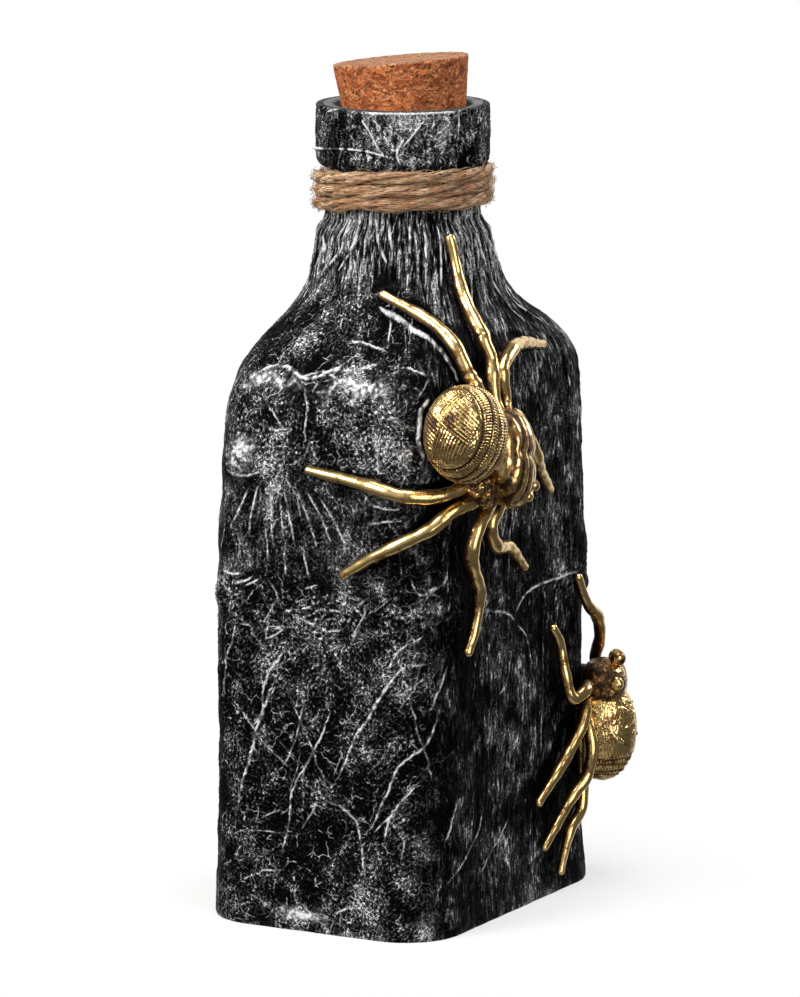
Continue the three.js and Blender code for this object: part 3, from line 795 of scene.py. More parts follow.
def brush_grit(upright):
    """The fine grain of the brush: crossing flecks on the faces, streaks where the grain is upright."""
    patches = smooth(-0.5, 0.5, grain(9, 9))
    flecks = ripples(1.0, 1.7, 35) * patches + ripples(1.0, 1.7, -40) * (1 - patches)
    flecks = flecks + 0.5 * ripples(1.1, 1.1)
    streaks = ripples(1.1, 3.6) + 0.6 * ripples(2.2, 11.0)
    grit = flecks / flecks.std() * (1 - upright) + streaks / streaks.std() * upright
    return grit / grit.std()


def draw_paper():
    """Over girth and height: the paper's height, the log of the silver brushed on it, the log of the silver
    rubbed onto its creases, and how upright its grain is."""
    creases = press_creases()
    broken = smooth(-1.1, 0.4, grain(1.3, 1.3))
    veins = smooth(0.1, 0.3, creases) * (0.55 + 0.45 * broken)
    upright = np.clip(ON_NECK + 0.8 * ON_SIDES + 0.4 * ON_FACES * IN_FAN + 0.15 * ON_SHOULDER, 0, 1)
    grit = brush_grit(upright)
    gathers = grain(5.0, 30.0)
    pleats = ripples(4.2, 22.0, 0, 0.5)
    crumple = grain(4.0, 4.0, rough=0.05)
    facets = 1 - np.abs(grain(7.0, 9.0, 20)) - 0.5 * np.abs(grain(4.0, 5.0, -25))
    swell = grain(26, 30)
    crinkles = bump(grain(6, 8, 20), 0, 0.13) * broken + bump(grain(4, 5, -25), 0, 0.15) * (1 - broken)
    crinkles = crinkles * (1 - 0.8 * upright)
    below_neck = 1 - ON_NECK

    lap = bump(ZZ, LAP + 1.2 * grain(14, 60), 5.0)
    lap_crinkle = (1 - np.abs(ripples(5.0, 2.2, 8, 0.5))) * (0.6 + 0.4 * ON_FACES)
    ledge_u, ledge_z = PLACES["ledge"]
    ledge = smooth(ledge_z - 3, ledge_z, ZZ) * (1 - smooth(ledge_z, ledge_z + 14, ZZ)) * bump(UU, ledge_u, 9)

    # Hand wrapping: the shoulder sits a little to the right of the neck's axis
    lean = bump(ZZ, 140, 13) * (normal_of(wrapped, UU, ZZ) @ RIGHT)
    height = summed((
        (0.7, creases),
        (0.2, swell * below_neck),
        (0.2, (gathers + pleats) * ON_NECK),
        (0.5, NECK_RING),
        (0.08, pleats * upright * below_neck),
        (0.08, crumple),
        (0.2, facets * below_neck * (0.45 + 0.55 * ON_FACES)),
        (0.06, grit),
        (0.14, crinkles),
        (0.3, lap),
        (0.26, lap * lap_crinkle),
        (0.6, ledge),
        (1.2, lean),
    ))
    height += summed((lift, spot(*where)) for *where, lift in SWELLS)

    # The foot is drawn flat where the bottle stands
    foot = 1 - smooth(0, 9, ZZ)
    height = height * (1 - 0.75 * foot) + 0.5 * foot

    # No silver, and a slight dip, under the spiders: the bare black round them is partly painted shade where
    # they shade the paper
    under = spider_shade_zone()
    height = height * (1 - 0.4 * under) - 0.1 * under

    proud = (height - softened(height, 2.0)) / 0.12
    contrast = 1 + 0.5 * ON_FRONT_BROW + 0.35 * ON_NECK
    tone = MEAN_TONE + summed((
        (0.75, grain(10, 12)),
        (0.75, grain(3.4, 3.8)),
        (0.5, contrast * grit),
        (0.8, contrast * np.clip(proud, -2.0, 2.0)),
        (1.3, crinkles),
        (1.65, ON_NECK),
        (-0.1, ON_SIDES * ON_BODY),
        (0.2, ON_SIDES * (1 - ON_BODY) * below_neck),
        (0.4, ON_FRONT * IN_FAN),
        (-0.1, ON_FRONT_LAP),
        # Partly a painted highlight: the front brow faces the lamps
        (0.4, ON_FRONT_BROW),
        (-0.3, ON_FRONT_SLOPE),
        (-0.5, AT_FOOT),
        # Darker under and beside the spiders: bare paint and painted shade
        (-2.4, under),
    ))
    tone += summed((change, spot(*where)) for *where, change in TONE_SPOTS)

    rubbed = BARE_TONE * (1 - np.sqrt(veins))
    ridges = bump(grain(3.0, 2.2), 0, 0.3)
    speckle = 1.0 * grain(0.8, 0.7) + 0.5 * grain(4, 2.5) + 1.6 * (ridges - 0.5)
    for *where, level in WORN_AND_HIGHLIGHT_PATCHES:
        rubbed = np.maximum(rubbed, level + speckle + BARE_TONE * (1 - spot(*where)))
    return np.clip(height, -1.0, 1.8), np.clip(tone, BARE_TONE, 0), np.clip(rubbed, BARE_TONE, 0), upright


RELIEF, TONE, RUBBED, UPRIGHT = draw_paper()


# Meshes


def mesh_object(name, points, faces, attributes=None, normals=None):
    """A smooth mesh of quads from points in millimetres, with floats or vectors on its points."""
    points = np.asarray(points, float).reshape(-1, 3) / MM
    faces = np.asarray(faces, int)
    corners = faces.shape[1]
    mesh = bpy.data.meshes.new(name)
    mesh.vertices.add(len(points))
    mesh.vertices.foreach_set("co", points.astype(np.float32).ravel())
    mesh.loops.add(faces.size)
    mesh.loops.foreach_set("vertex_index", faces.astype(np.int32).ravel())
    mesh.polygons.add(len(faces))
    mesh.polygons.foreach_set("loop_start", np.arange(0, faces.size, corners, dtype=np.int32))
    mesh.update(calc_edges=True)
    mesh.validate()
    mesh.shade_smooth()
    if normals is not None:
        mesh.normals_split_custom_set_from_vertices(np.asarray(normals, float).reshape(-1, 3))
    for key, values in (attributes or {}).items():
        values = np.asarray(values, np.float32)
        if values.size == 3 * len(points):
            mesh.attributes.new(key, "FLOAT_VECTOR", "POINT").data.foreach_set("vector", values.ravel())
        else:
            mesh.attributes.new(key, "FLOAT", "POINT").data.foreach_set("value", values.ravel())
    made = bpy.data.objects.new(name, mesh)
    scene.collection.objects.link(made)
    return made


def grid_faces(rows, columns, closed=True):
    """Quads between rows of points, facing outward where the rows rise and run counter-clockwise."""
    r, c = np.meshgrid(np.arange(rows - 1), np.arange(columns if closed else columns - 1), indexing="ij")
    c1 = (c + 1) % columns
    quads = np.stack([r * columns + c, r * columns + c1, (r + 1) * columns + c1, (r + 1) * columns + c], -1)
    return quads.reshape(-1, 4)


def joined(grids):
    """Points and quads of several closed grids as one mesh."""
    faces = []
    start = 0
    for grid in grids:
        rows, columns = grid.shape[:2]
        faces.append(grid_faces(rows, columns) + start)
        start += rows * columns
    return np.vstack([grid.reshape(-1, 3) for grid in grids]), np.vstack(faces)


def dress(piece, material, body, slot, *nodes):
    piece.data.materials.append(material)
    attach(piece, body)
    if nodes:
        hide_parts(*nodes)


def fractal_over(points, scale, octaves):
    """Soft random values about zero at points."""
    values = [noise.fractal(Vector(v), 1.0, 2.0, octaves) for v in points.reshape(-1, 3) * scale]
    return np.array(values).reshape(points.shape[:-1])


def grit_over(points, scale):
    """Random values of one size of grain at points."""
    values = [noise.noise(Vector(v)) for v in points.reshape(-1, 3) * scale]
    return np.array(values).reshape(points.shape[:-1])


# Materials: colours of the surfaces, and pairs of colours between which they vary
PAPER_BLACKS = ((0.0007, 0.0007, 0.0008, 1), (0.0014, 0.0014, 0.0016, 1))
PAPER_SILVERS = ((0.7, 0.7, 0.71, 1), (0.88, 0.88, 0.89, 1))
GILT_BRIGHTS = ((0.76, 0.50, 0.16, 1), (0.95, 0.72, 0.35, 1))
GILT_BROWN = (0.25, 0.115, 0.03, 1)
GILT_DARK = (0.026, 0.010, 0.003, 1)
CORK_FLAKES = ((0.19, 0.040, 0.012, 1), (0.66, 0.205, 0.066, 1))
CORK_CRUMBS = ((0.13, 0.028, 0.009, 1), (0.82, 0.31, 0.12, 1))
CORK_TOP_FLAKES = ((0.29, 0.115, 0.055, 1), (0.48, 0.255, 0.14, 1))
CORK_TOP_CRUMBS = ((0.20, 0.077, 0.036, 1), (0.53, 0.31, 0.18, 1))
CORK_DARK = (0.075, 0.022, 0.009, 1)
JUTE_TANS = ((0.74, 0.35, 0.17, 1), (1.0, 0.74, 0.47, 1))
JUTE_DARK = (0.055, 0.019, 0.007, 1)
# Painted shade between the twine's plies
JUTE_PLY_SHADE = (0.05, 0.022, 0.01, 1)
FIBRE_TANS = ((0.24, 0.12, 0.05, 1), (0.66, 0.44, 0.25, 1))
GLASS_DARKS = ((0.022, 0.024, 0.024, 1), (0.05, 0.054, 0.053, 1))
GLASS_WORN = (0.2, 0.21, 0.21, 1)

# How strongly the paper's fine lines, facets and grain change the log of its silver
LINE_GAIN = 3.0
FACET_REACH = 6.2
GRAIN_GAIN = 4.4
FACET_DROP = 1.0
WORN_LIFT = 0.45

# Silver below this share does not cover the black at all
BARE_SHARE = 0.004


def new_material(name):
    material = bpy.data.materials.new(name)
    material.use_nodes = True
    tree = material.node_tree
    return material, tree, tree.nodes["Principled BSDF"]


def wire(tree, node, sockets):
    """Sets a node's sockets to values or links them to other nodes' outputs."""
    for key, value in sockets.items():
        if isinstance(value, bpy.types.NodeSocket):
            tree.links.new(value, node.inputs[key])
        else:
            node.inputs[key].default_value = value


def add(tree, kind, sockets=None, **settings):
    made = tree.nodes.new(kind)
    for key, value in settings.items():
        setattr(made, key, value)
    wire(tree, made, sockets or {})
    return made


def attribute(tree, name, output="Fac"):
    return add(tree, "ShaderNodeAttribute", attribute_name=name).outputs[output]


def object_place(tree):
    return add(tree, "ShaderNodeTexCoord").outputs["Object"]


def math_node(tree, operation, *values, clamp=False):
    made = add(tree, "ShaderNodeMath", dict(enumerate(values)), operation=operation, use_clamp=clamp)
    return made.outputs[0]


def vector_node(tree, operation, *values):
    made = add(tree, "ShaderNodeVectorMath", dict(enumerate(values)), operation=operation)
    return made.outputs["Value" if operation in ("LENGTH", "DOT_PRODUCT") else "Vector"]


def noise_node(tree, place, scale, detail, output="Fac"):
    made = add(tree, "ShaderNodeTexNoise", {"Vector": place, "Scale": scale, "Detail": detail})
    return made.outputs[output]


def voronoi_node(tree, place, scale, output, feature="F1"):
    made = add(tree, "ShaderNodeTexVoronoi", {"Vector": place, "Scale": scale}, feature=feature)
    return made.outputs[output]


def ramp(tree, value, low, high, start=0.0, end=1.0):
    made = add(tree, "ShaderNodeMapRange", {
        "Value": value, "From Min": low, "From Max": high, "To Min": start, "To Max": end,
    }, interpolation_type="SMOOTHSTEP")
    return made.outputs["Result"]


def mixed(tree, share, first, second):
    return add(tree, "ShaderNodeMix", {0: share, 6: first, 7: second}, data_type="RGBA").outputs[2]


def centred(tree, value, gain):
    """A value about one half turned to one about zero, times a gain."""
    return math_node(tree, "MULTIPLY_ADD", value, gain, -gain / 2)


def bumped(tree, height, strength, distance):
    made = add(tree, "ShaderNodeBump", {"Height": height, "Strength": strength, "Distance": distance})
    return made.outputs["Normal"]


def mottling_group():
    """Two sizes of soft random mottling over an object: a fine grain and larger patches."""
    group = bpy.data.node_groups.new("mottling", "ShaderNodeTree")
    for name, start in (("Grain Scale", 1500.0), ("Patch Scale", 300.0)):
        socket = group.interface.new_socket(name, in_out="INPUT", socket_type="NodeSocketFloat")
        socket.default_value = start
    for name in ("Grain", "Patches"):
        group.interface.new_socket(name, in_out="OUTPUT", socket_type="NodeSocketFloat")
    given = group.nodes.new("NodeGroupInput")
    made = group.nodes.new("NodeGroupOutput")
    place = object_place(group)
    for scale, detail, name in (("Grain Scale", 2.5, "Grain"), ("Patch Scale", 2.0, "Patches")):
        field = add(group, "ShaderNodeTexNoise", {
            "Vector": place, "Scale": given.outputs[scale], "Detail": detail, "Roughness": 0.6,
        })
        group.links.new(field.outputs["Fac"], made.inputs[name])
    return group


MOTTLING = mottling_group()


def mottled(tree, grain_scale, patch_scale):
    made = add(tree, "ShaderNodeGroup", node_tree=MOTTLING)
    wire(tree, made, {"Grain Scale": grain_scale, "Patch Scale": patch_scale})
    return made.outputs["Grain"], made.outputs["Patches"]


def thin_lines(tree, place, scale, width):
    """Thin wandering lines, 1 on the line and 0 away from it."""
    away = math_node(tree, "ABSOLUTE", centred(tree, noise_node(tree, place, scale, 1.0), 1.0))
    return ramp(tree, away, 0.0, width, 1.0, 0.0)


def facet_lines(tree, place, scale):
    """The edges of irregular facets, 1 on the edge and 0 away from it."""
    stir = noise_node(tree, place, 1.5 * scale, 1.0, "Color")
    reach = 0.7 / scale
    moved = vector_node(tree, "ADD", place, vector_node(tree, "MULTIPLY", stir, (reach, reach, reach)))
    edge = voronoi_node(tree, moved, scale, "Distance", "DISTANCE_TO_EDGE")
    return ramp(tree, edge, 0.0, 0.07, 1.0, 0.0)


def paper_material():
    material, tree, shader = new_material("painted_paper")
    place = object_place(tree)
    upright = attribute(tree, "upright")
    worms = thin_lines(tree, place, scale=900, width=0.055)
    threads = thin_lines(tree, attribute(tree, "wrap", "Vector"), scale=700, width=0.035)
    strung = math_node(tree, "MAXIMUM", threads, math_node(tree, "MULTIPLY", worms, 0.55))
    lines = add(tree, "ShaderNodeMix", {0: upright, 2: worms, 3: strung}).outputs[0]
    specks, patches = mottled(tree, grain_scale=1900, patch_scale=330)
    facets = math_node(tree, "MULTIPLY", facet_lines(tree, place, 230), ramp(tree, patches, 0.44, 0.58))
    facets = math_node(tree, "MULTIPLY", facets, ramp(tree, upright, 0.2, 1.0, 1.0, 0.0))
    fine = math_node(tree, "ADD", centred(tree, lines, LINE_GAIN), centred(tree, specks, GRAIN_GAIN))
    brushed = math_node(tree, "ADD", attribute(tree, "tone"), fine)
    folded = math_node(tree, "ADD", centred(tree, facets, FACET_REACH), -FACET_REACH / 2 - FACET_DROP)
    worn = math_node(tree, "MAXIMUM", folded, attribute(tree, "rubbed"))
    worn = math_node(tree, "MULTIPLY_ADD", fine, 0.4, worn)
    tone = math_node(tree, "MAXIMUM", brushed, math_node(tree, "ADD", worn, WORN_LIFT))
    silver = math_node(tree, "SUBTRACT", math_node(tree, "EXPONENT", tone), BARE_SHARE, clamp=True)
    black = mixed(tree, ramp(tree, patches, 0.35, 0.75), *PAPER_BLACKS)
    bright = mixed(tree, patches, *PAPER_SILVERS)
    relief = math_node(tree, "ADD", math_node(tree, "MAXIMUM", lines, facets), centred(tree, specks, 0.8))
    wire(tree, shader, {
        "Base Color": mixed(tree, silver, black, bright),
        "Roughness": 0.5,
        "IOR": 1.07,
        "Normal": bumped(tree, relief, strength=0.5, distance=0.0003),
    })
    return material


def gold_material():
    material, tree, shader = new_material("antique_gilt")
    flecks, clouds = mottled(tree, grain_scale=1500, patch_scale=260)
    # The casts' attribute carries patina in the hollows and painted shade on the sides turned to the paper
    worn = math_node(tree, "ADD", attribute(tree, "tarnish_and_shade"), centred(tree, clouds, 1.1))
    amount = ramp(tree, math_node(tree, "ADD", worn, centred(tree, flecks, 1.0)), 0.0, 0.75)
    bright = mixed(tree, clouds, *GILT_BRIGHTS)
    brown = mixed(tree, ramp(tree, amount, 0.0, 0.55), bright, GILT_BROWN)
    wire(tree, shader, {
        "Base Color": mixed(tree, ramp(tree, amount, 0.5, 1.0), brown, GILT_DARK),
        "Roughness": ramp(tree, amount, 0, 1, 0.2, 0.46),
        "Metallic": ramp(tree, amount, 0, 1, 1.0, 0.5),
        "Normal": bumped(tree, flecks, strength=0.05, distance=0.0003),
    })
    return material


def cork_material():
    material, tree, shader = new_material("pressed_cork")
    place = object_place(tree)
    stir = noise_node(tree, place, scale=700, detail=2.0, output="Color")
    shift = vector_node(tree, "MULTIPLY", stir, (0.002, 0.002, 0.002))
    level = vector_node(tree, "MULTIPLY", place, (1.0, 1.0, 1.9))
    stirred = vector_node(tree, "ADD", level, shift)
    large, small = (
        add(tree, "ShaderNodeSeparateColor", {0: voronoi_node(tree, stirred, scale, "Color")}).outputs[0]
        for scale in (390, 1100)
    )
    edges = voronoi_node(tree, stirred, 390, "Distance", "DISTANCE_TO_EDGE")
    fine, patches = mottled(tree, grain_scale=1500, patch_scale=500)
    crumbly = ramp(tree, patches, 0.42, 0.58)
    side = mixed(tree, crumbly, mixed(tree, large, *CORK_FLAKES), mixed(tree, small, *CORK_CRUMBS))
    top = mixed(tree, crumbly, mixed(tree, large, *CORK_TOP_FLAKES), mixed(tree, small, *CORK_TOP_CRUMBS))
    colour = mixed(tree, attribute(tree, "top"), side, top)
    gap = ramp(tree, edges, 0.0, 0.1, 0.5, 0.0)
    gap = math_node(tree, "MULTIPLY", gap, ramp(tree, patches, 0.4, 0.6))
    speck = ramp(tree, fine, 0.56, 0.66, 0, 0.9)
    dark = math_node(tree, "MAXIMUM", math_node(tree, "MAXIMUM", gap, attribute(tree, "pit")), speck)
    wire(tree, shader, {
        "Base Color": mixed(tree, dark, colour, CORK_DARK),
        "Roughness": 0.88,
        "Specular IOR Level": 0.2,
        "Normal": bumped(tree, fine, strength=0.6, distance=0.0008),
    })
    return material


def jute_material():
    material, tree, shader = new_material("jute_twine")
    strand = add(tree, "ShaderNodeCombineXYZ", {
        0: attribute(tree, "along"), 1: attribute(tree, "around"), 2: attribute(tree, "ply"),
    }).outputs[0]
    stretched = add(tree, "ShaderNodeMapping", {"Vector": strand, "Scale": (0.16, 4.0, 3.6)}).outputs[0]
    fibre = noise_node(tree, stretched, scale=3.0, detail=3.0)
    _, clouds = mottled(tree, grain_scale=900, patch_scale=240)
    tan = mixed(tree, ramp(tree, clouds, 0.3, 0.7), *JUTE_TANS)
    colour = mixed(tree, ramp(tree, fibre, 0.43, 0.54), JUTE_DARK, tan)
    wire(tree, shader, {
        # Painted shade between the plies darkens the jute
        "Base Color": mixed(tree, attribute(tree, "deep"), colour, JUTE_PLY_SHADE),
        "Roughness": 0.85,
        "Specular IOR Level": 0.25,
        "Normal": bumped(tree, fibre, strength=0.6, distance=0.0005),
    })
    return material


def fibre_material():
    material, tree, shader = new_material("jute_fibre")
    _, clouds = mottled(tree, grain_scale=1500, patch_scale=900)
    wire(tree, shader, {"Base Color": mixed(tree, clouds, *FIBRE_TANS), "Roughness": 0.8})
    return material


def glass_material():
    material, tree, shader = new_material("painted_glass")
    fine, clouds = mottled(tree, grain_scale=900, patch_scale=160)
    worn = ramp(tree, fine, 0.56, 0.74, 0.0, 0.6)
    wire(tree, shader, {
        "Base Color": mixed(tree, worn, mixed(tree, clouds, *GLASS_DARKS), GLASS_WORN),
        "Roughness": ramp(tree, clouds, 0.3, 0.7, 0.36, 0.52),
        "Normal": bumped(tree, fine, strength=0.15, distance=0.0003),
    })
    return material


PAPER = paper_material()
GOLD = gold_material()
CORK = cork_material()
JUTE = jute_material()
FIBRE = fibre_material()
GLASS = glass_material()


# Paper sheets, each in three strips of the girth
UPRIGHT_STRETCH = 0.17
STRIPS = (("front", -118.0, -30.0), ("right", -30.0, 58.0), ("far", 58.0, GIRTH - 118.0))
BODY_COUNTS = (300, 300, 250)
SHOULDER_COUNTS = (270, 270, 220)
SHEET_TOP = TOP - 0.8
EDGE_GAP = 0.03
TUCK = 1.6


def strip_columns(counts):
    """Girths of a sheet's columns, strip after strip."""
    return np.concatenate([
        np.linspace(first, last, count, endpoint=False) for (_, first, last), count in zip(STRIPS, counts)
    ])


def lap_edge(girth):
    """Height of the upper sheet's torn lower edge."""
    turn = 2 * np.pi * girth / GIRTH
    wave = 0.9 * np.sin(3 * turn + 0.6) + 0.7 * np.sin(8 * turn + 2.0) + 0.5 * np.sin(19 * turn + 4.0)
    return LAP + wave + 0.4 * np.sin(43 * turn + 1.0)


def grid_normals(points):
    round_ = np.roll(points, -1, 1) - np.roll(points, 1, 1)
    return unit(np.cross(round_, np.gradient(points, axis=0)))


def wrap_vector(radius, turn, z):
    """Places for grain drawn out upward along the wrap, in metres."""
    return round_axis(radius, turn, z * UPRIGHT_STRETCH) / MM


def edged(field, drop=0.0):
    """A field with its first and last rows once more, lowered, for the edges that turn in."""
    return np.concatenate([field[:1] - drop, field, field[-1:] - drop])


def sheet_mesh(name, girth, z, extra, node, turned_in, counts):
    """A sheet over the skin in strips. girth and z are grids; extra lifts it; turned_in closes its edges."""
    relief = sample(RELIEF, girth, z) + extra
    points = wrapped(girth, z) + normal_of(wrapped, girth, z) * relief[..., None]
    bottom = wrapped(girth[0], z[0], turned_in[0])
    top = wrapped(girth[-1], z[-1], turned_in[1])
    points = np.concatenate([bottom[None], points, top[None]])
    points[..., 2] = np.maximum(points[..., 2], 0.02)
    values = {
        "tone": edged(sample(TONE, girth, z), 2),
        "rubbed": edged(sample(RUBBED, girth, z), 2),
        "upright": edged(sample(UPRIGHT, girth, z)),
        "wrap": edged(wrap_vector(GIRTH / (2 * np.pi), 2 * np.pi * girth / GIRTH, z)),
    }
    normals = grid_normals(points)
    rows, total = points.shape[:2]
    first = 0
    for (label, _, _), count in zip(STRIPS, counts):
        columns = np.arange(first, first + count + 1) % total
        first += count
        piece = mesh_object(
            f"{name}_{label}",
            points[:, columns],
            grid_faces(rows, len(columns), closed=False),
            {key: field[:, columns] for key, field in values.items()},
            normals[:, columns],
        )
        dress(piece, PAPER, "bottle", "painted_paper", node)


def make_body_sheet():
    """The lower sheet, from its turned-in foot to a little above the lap's edge, tucked under there."""
    girth = strip_columns(BODY_COUNTS)
    edge = lap_edge(girth)
    share = np.linspace(0, 1, 8)[:-1]
    foot = BASE_EDGE * (1 - np.cos(share * math.pi / 2)) + EDGE_GAP
    rise = np.linspace(0, 1, 264)[:, None]
    z = np.vstack([
        np.repeat(foot[:, None], len(girth), 1),
        BASE_EDGE + EDGE_GAP + (edge + TUCK - BASE_EDGE) * rise,
    ])
    tucked = -0.25 * smooth(edge - 0.4, edge + 0.8, z)
    girth = np.broadcast_to(girth, z.shape)
    turned_in = (SKIN_DEPTH + 2.4, 1.2)
    sheet_mesh("body_paper_sheet", girth, z, tucked, "body_paper", turned_in, BODY_COUNTS)


def make_shoulder_sheet():
    """The upper sheet, from the lap's edge up the neck, in rows evenly spaced along its slope."""
    girth = strip_columns(SHOULDER_COUNTS)
    edge = lap_edge(girth)
    level = np.linspace(LAP, SHEET_TOP, 600)
    a, b, _ = skin_section(level)
    length = run_along(np.stack([level, (a + b) / 2], 1))
    even = np.interp(np.linspace(0, length[-1], 340), length, level)
    share = ((even - LAP) / (SHEET_TOP - LAP))[:, None]
    z = lerp(edge, SHEET_TOP, share)
    lifted = 0.1 * (1 - smooth(0, 3.5, z - edge))
    girth = np.broadcast_to(girth, z.shape)
    sheet_mesh("shoulder_paper_sheet", girth, z, lifted, "shoulder_paper", (0.3, 0.9), SHOULDER_COUNTS)


make_body_sheet()
make_shoulder_sheet()

# Lip
LIP_FOOT = LIP_START - 0.9
LIP_COLUMNS = 640
LIP_ROWS = 72
LIP_FOOT_EDGE = 3.2
LIP_RIM_EDGE = 0.35
LIP_STRAY_CREASES = 240
LIP_STRAY_WIDTH = 0.3
LIP_FRONT = math.radians(-70)

# Girth and height of the band of unrolled skin whose grain the lip borrows
LIP_BAND_GIRTH = FRONT - 40
LIP_BAND_HEIGHT = 30

# In pixels of the photograph: a crease's half width, a bright patch, its half sizes, the rim's worn stretch
LIP_CREASE_WIDTH = 1.4
LIP_PATCH = (428, 130)
LIP_PATCH_HALF = (34, 26)
LIP_WORN = (365, 457)


def lip_radius(z):
    foot = np.clip((LIP_FOOT + LIP_FOOT_EDGE - z) / LIP_FOOT_EDGE, 0, 1)
    head = np.clip((z - RIM + LIP_RIM_EDGE) / LIP_RIM_EDGE, 0, 1)
    return LIP_RADIUS - 1.5 * (1 - np.sqrt(1 - foot**2)) - LIP_RIM_EDGE * (1 - np.sqrt(1 - head**2))


def lip_creases(angle, z, pixels, shown, worn_through):
    """Heights of the lip's creases, first those of the photograph and then random ones."""
    crease = np.zeros_like(angle)
    for rise, knots in LIP_CREASES:
        path = curve_through(knots, spacing=1.0)
        count = len(path)
        for i, at in enumerate(path):
            fade = fade_at(i, count, 0.3, 5)
            if rise > 1:
                fade = 1.0 if i < 0.2 * count else 0.5
            far = ((pixels - at) ** 2).sum(-1)
            stamp = CREASE_RISE * rise * fade * np.exp(-far / LIP_CREASE_WIDTH**2)
            crease = np.maximum(crease, np.where(shown, stamp, 0))
    crease = crease * worn_through
    arc = angle * LIP_RADIUS
    around = 2 * math.pi * LIP_RADIUS
    for _ in range(LIP_STRAY_CREASES):
        start = (chance.random() * around, LIP_START + 14 * chance.random())
        heading = 1.1 + 0.9 * chance.standard_normal()
        path = wandering(start, heading, 2.5 + 4 * chance.random(), 0.1)
        strength = 0.12 + 0.22 * chance.random()
        for x, y in path[::2]:
            far = gap_round(arc, x, around) ** 2 + (z - y) ** 2
            crease = np.maximum(crease, strength * np.exp(-far / LIP_STRAY_WIDTH**2))
    return crease


def make_lip():
    ring = angles_round(LIP_COLUMNS)
    angle, z = np.meshgrid(ring, np.linspace(LIP_FOOT, RIM - 0.05, LIP_ROWS))
    near = round_axis(lip_radius(z), angle, z)
    pixels = to_pixels(near)
    shown = toward_eye(near, round_axis(1.0, angle, 0.0)) > 0.0

    band = (LIP_BAND_GIRTH + angle * LIP_RADIUS, LIP_BAND_HEIGHT + (z - LIP_START))
    band_tone = sample(TONE, *band)
    worn_through = 0.4 + 0.6 * smooth(-4.6, -2.8, band_tone)
    crease = lip_creases(angle, z, pixels, shown, worn_through)
    borrowed = sample(RELIEF, *band)
    borrowed = np.clip(borrowed - borrowed.mean(), -0.4, 0.4)
    fade = smooth(LIP_FOOT, LIP_FOOT + 1.5, z) * (1 - 0.7 * smooth(RIM - 1.2, RIM - 0.2, z))
    points = round_axis(lip_radius(z) + (crease + 0.35 * borrowed) * fade, angle, z)

    front = smooth(-0.2, 0.7, np.cos(angle - LIP_FRONT))
    patch = np.prod(bump(pixels, np.array(LIP_PATCH), np.array(LIP_PATCH_HALF)), -1) * shown
    low = 1 - smooth(LIP_FOOT, LIP_FOOT + 4, z)
    tone = band_tone + 0.6 + 0.25 * front + 1.2 * patch - 0.8 * low
    creased = BARE_TONE * (1 - np.sqrt(smooth(0.06, 0.36, crease))) - 0.1
    into, out_of = (smooth(x - 5, x + 5, pixels[..., 0]) for x in LIP_WORN)
    worn = lerp(BARE_TONE, -0.4, into * (1 - out_of) * shown * smooth(RIM - 1.0, RIM - 0.4, z))
    rubbed = np.maximum(np.maximum(sample(RUBBED, *band), creased), worn)

    inner_low = round_axis(THROAT_RADIUS - 0.4, ring, LIP_FOOT + 0.2)
    inner_top = round_axis(LIP_RADIUS - 2.0, ring, RIM)
    points = np.concatenate([inner_low[None], points, inner_top[None]])
    bare = np.full((1, LIP_COLUMNS), float(BARE_TONE))
    tone = np.concatenate([tone[:1] - 2, tone, np.full((1, LIP_COLUMNS), -3.0)])
    values = {
        "tone": np.clip(tone, BARE_TONE, 0),
        "rubbed": np.concatenate([bare, rubbed, bare]),
        "upright": np.full(tone.shape, 0.15),
        "wrap": wrap_vector(LIP_RADIUS, ring, points[..., 2]),
    }
    piece = mesh_object("lip_paper_band", points, grid_faces(*tone.shape), values)
    dress(piece, PAPER, "bottle", "painted_paper", "lip_paper")


make_lip()

# Glass: how much deeper its hidden wall lies, clear of the paper's dents, and its thickness
GLASS_CLEAR = 1.2
GLASS_WALL = 3.2
GLASS_COLUMNS = 160
FOOT_LEVELS = (0.0, 0.6, 1.5, 3.0)
WALL_LEVELS = (20, 40, 80, 118, 125, 132, 138, 143, 148, 153, 158, 162, 165)
THROAT_LEVELS = (168, 170)
INSIDE_LEVELS = (164.5, 160, 156, 152, 148, 143, 138, 132, 125, 118, 80, 40, 9, 7)

# Radius and height from under the lip, over the rim and down the bore
LIP_PROFILE = (
    (THROAT_RADIUS - SKIN_DEPTH, LIP_START - 0.1),
    (19.0, 182.2), (19.6, 183.0), (19.6, 195.2), (19.5, 195.8), (19.3, 196.0), (18.4, 196.0),
    (17.3, 196.0), (17.0, 195.9), (16.85, 195.6), (16.4, 193), (15.8, 189), (15.4, 186), (15.4, 170),
)

# Shares of the section and heights of the base from its middle out, and of the floor inside from its edge in
BASE_RINGS = ((0.02, 2.0), (0.5, 1.6), (0.97, 0.0))
FLOOR_RINGS = ((0.9, 6.2), (0.5, 6.6), (0.02, 7.4))


def ring_of(a, b, r, z):
    girth = np.linspace(0, 1, GLASS_COLUMNS, endpoint=False) * 2 * np.pi
    turn = np.floor(girth / (np.pi / 2)).astype(int) % 4
    x = np.array([1, -1, -1, 1])[turn] * (a - r) + r * np.cos(girth)
    y = np.array([1, 1, -1, -1])[turn] * (b - r) + r * np.sin(girth)
    return np.stack([x, y, np.full(GLASS_COLUMNS, z)], -1)


def glass_rings(levels, depth):
    """Rings of the glass at heights, a depth under the skin."""
    return [ring_of(*(float(v) - depth for v in skin_section(z)), float(z)) for z in levels]


def shrunk_rings(ring, shares):
    return [np.column_stack([ring[:, :2] * share, np.full(len(ring), z)]) for share, z in shares]


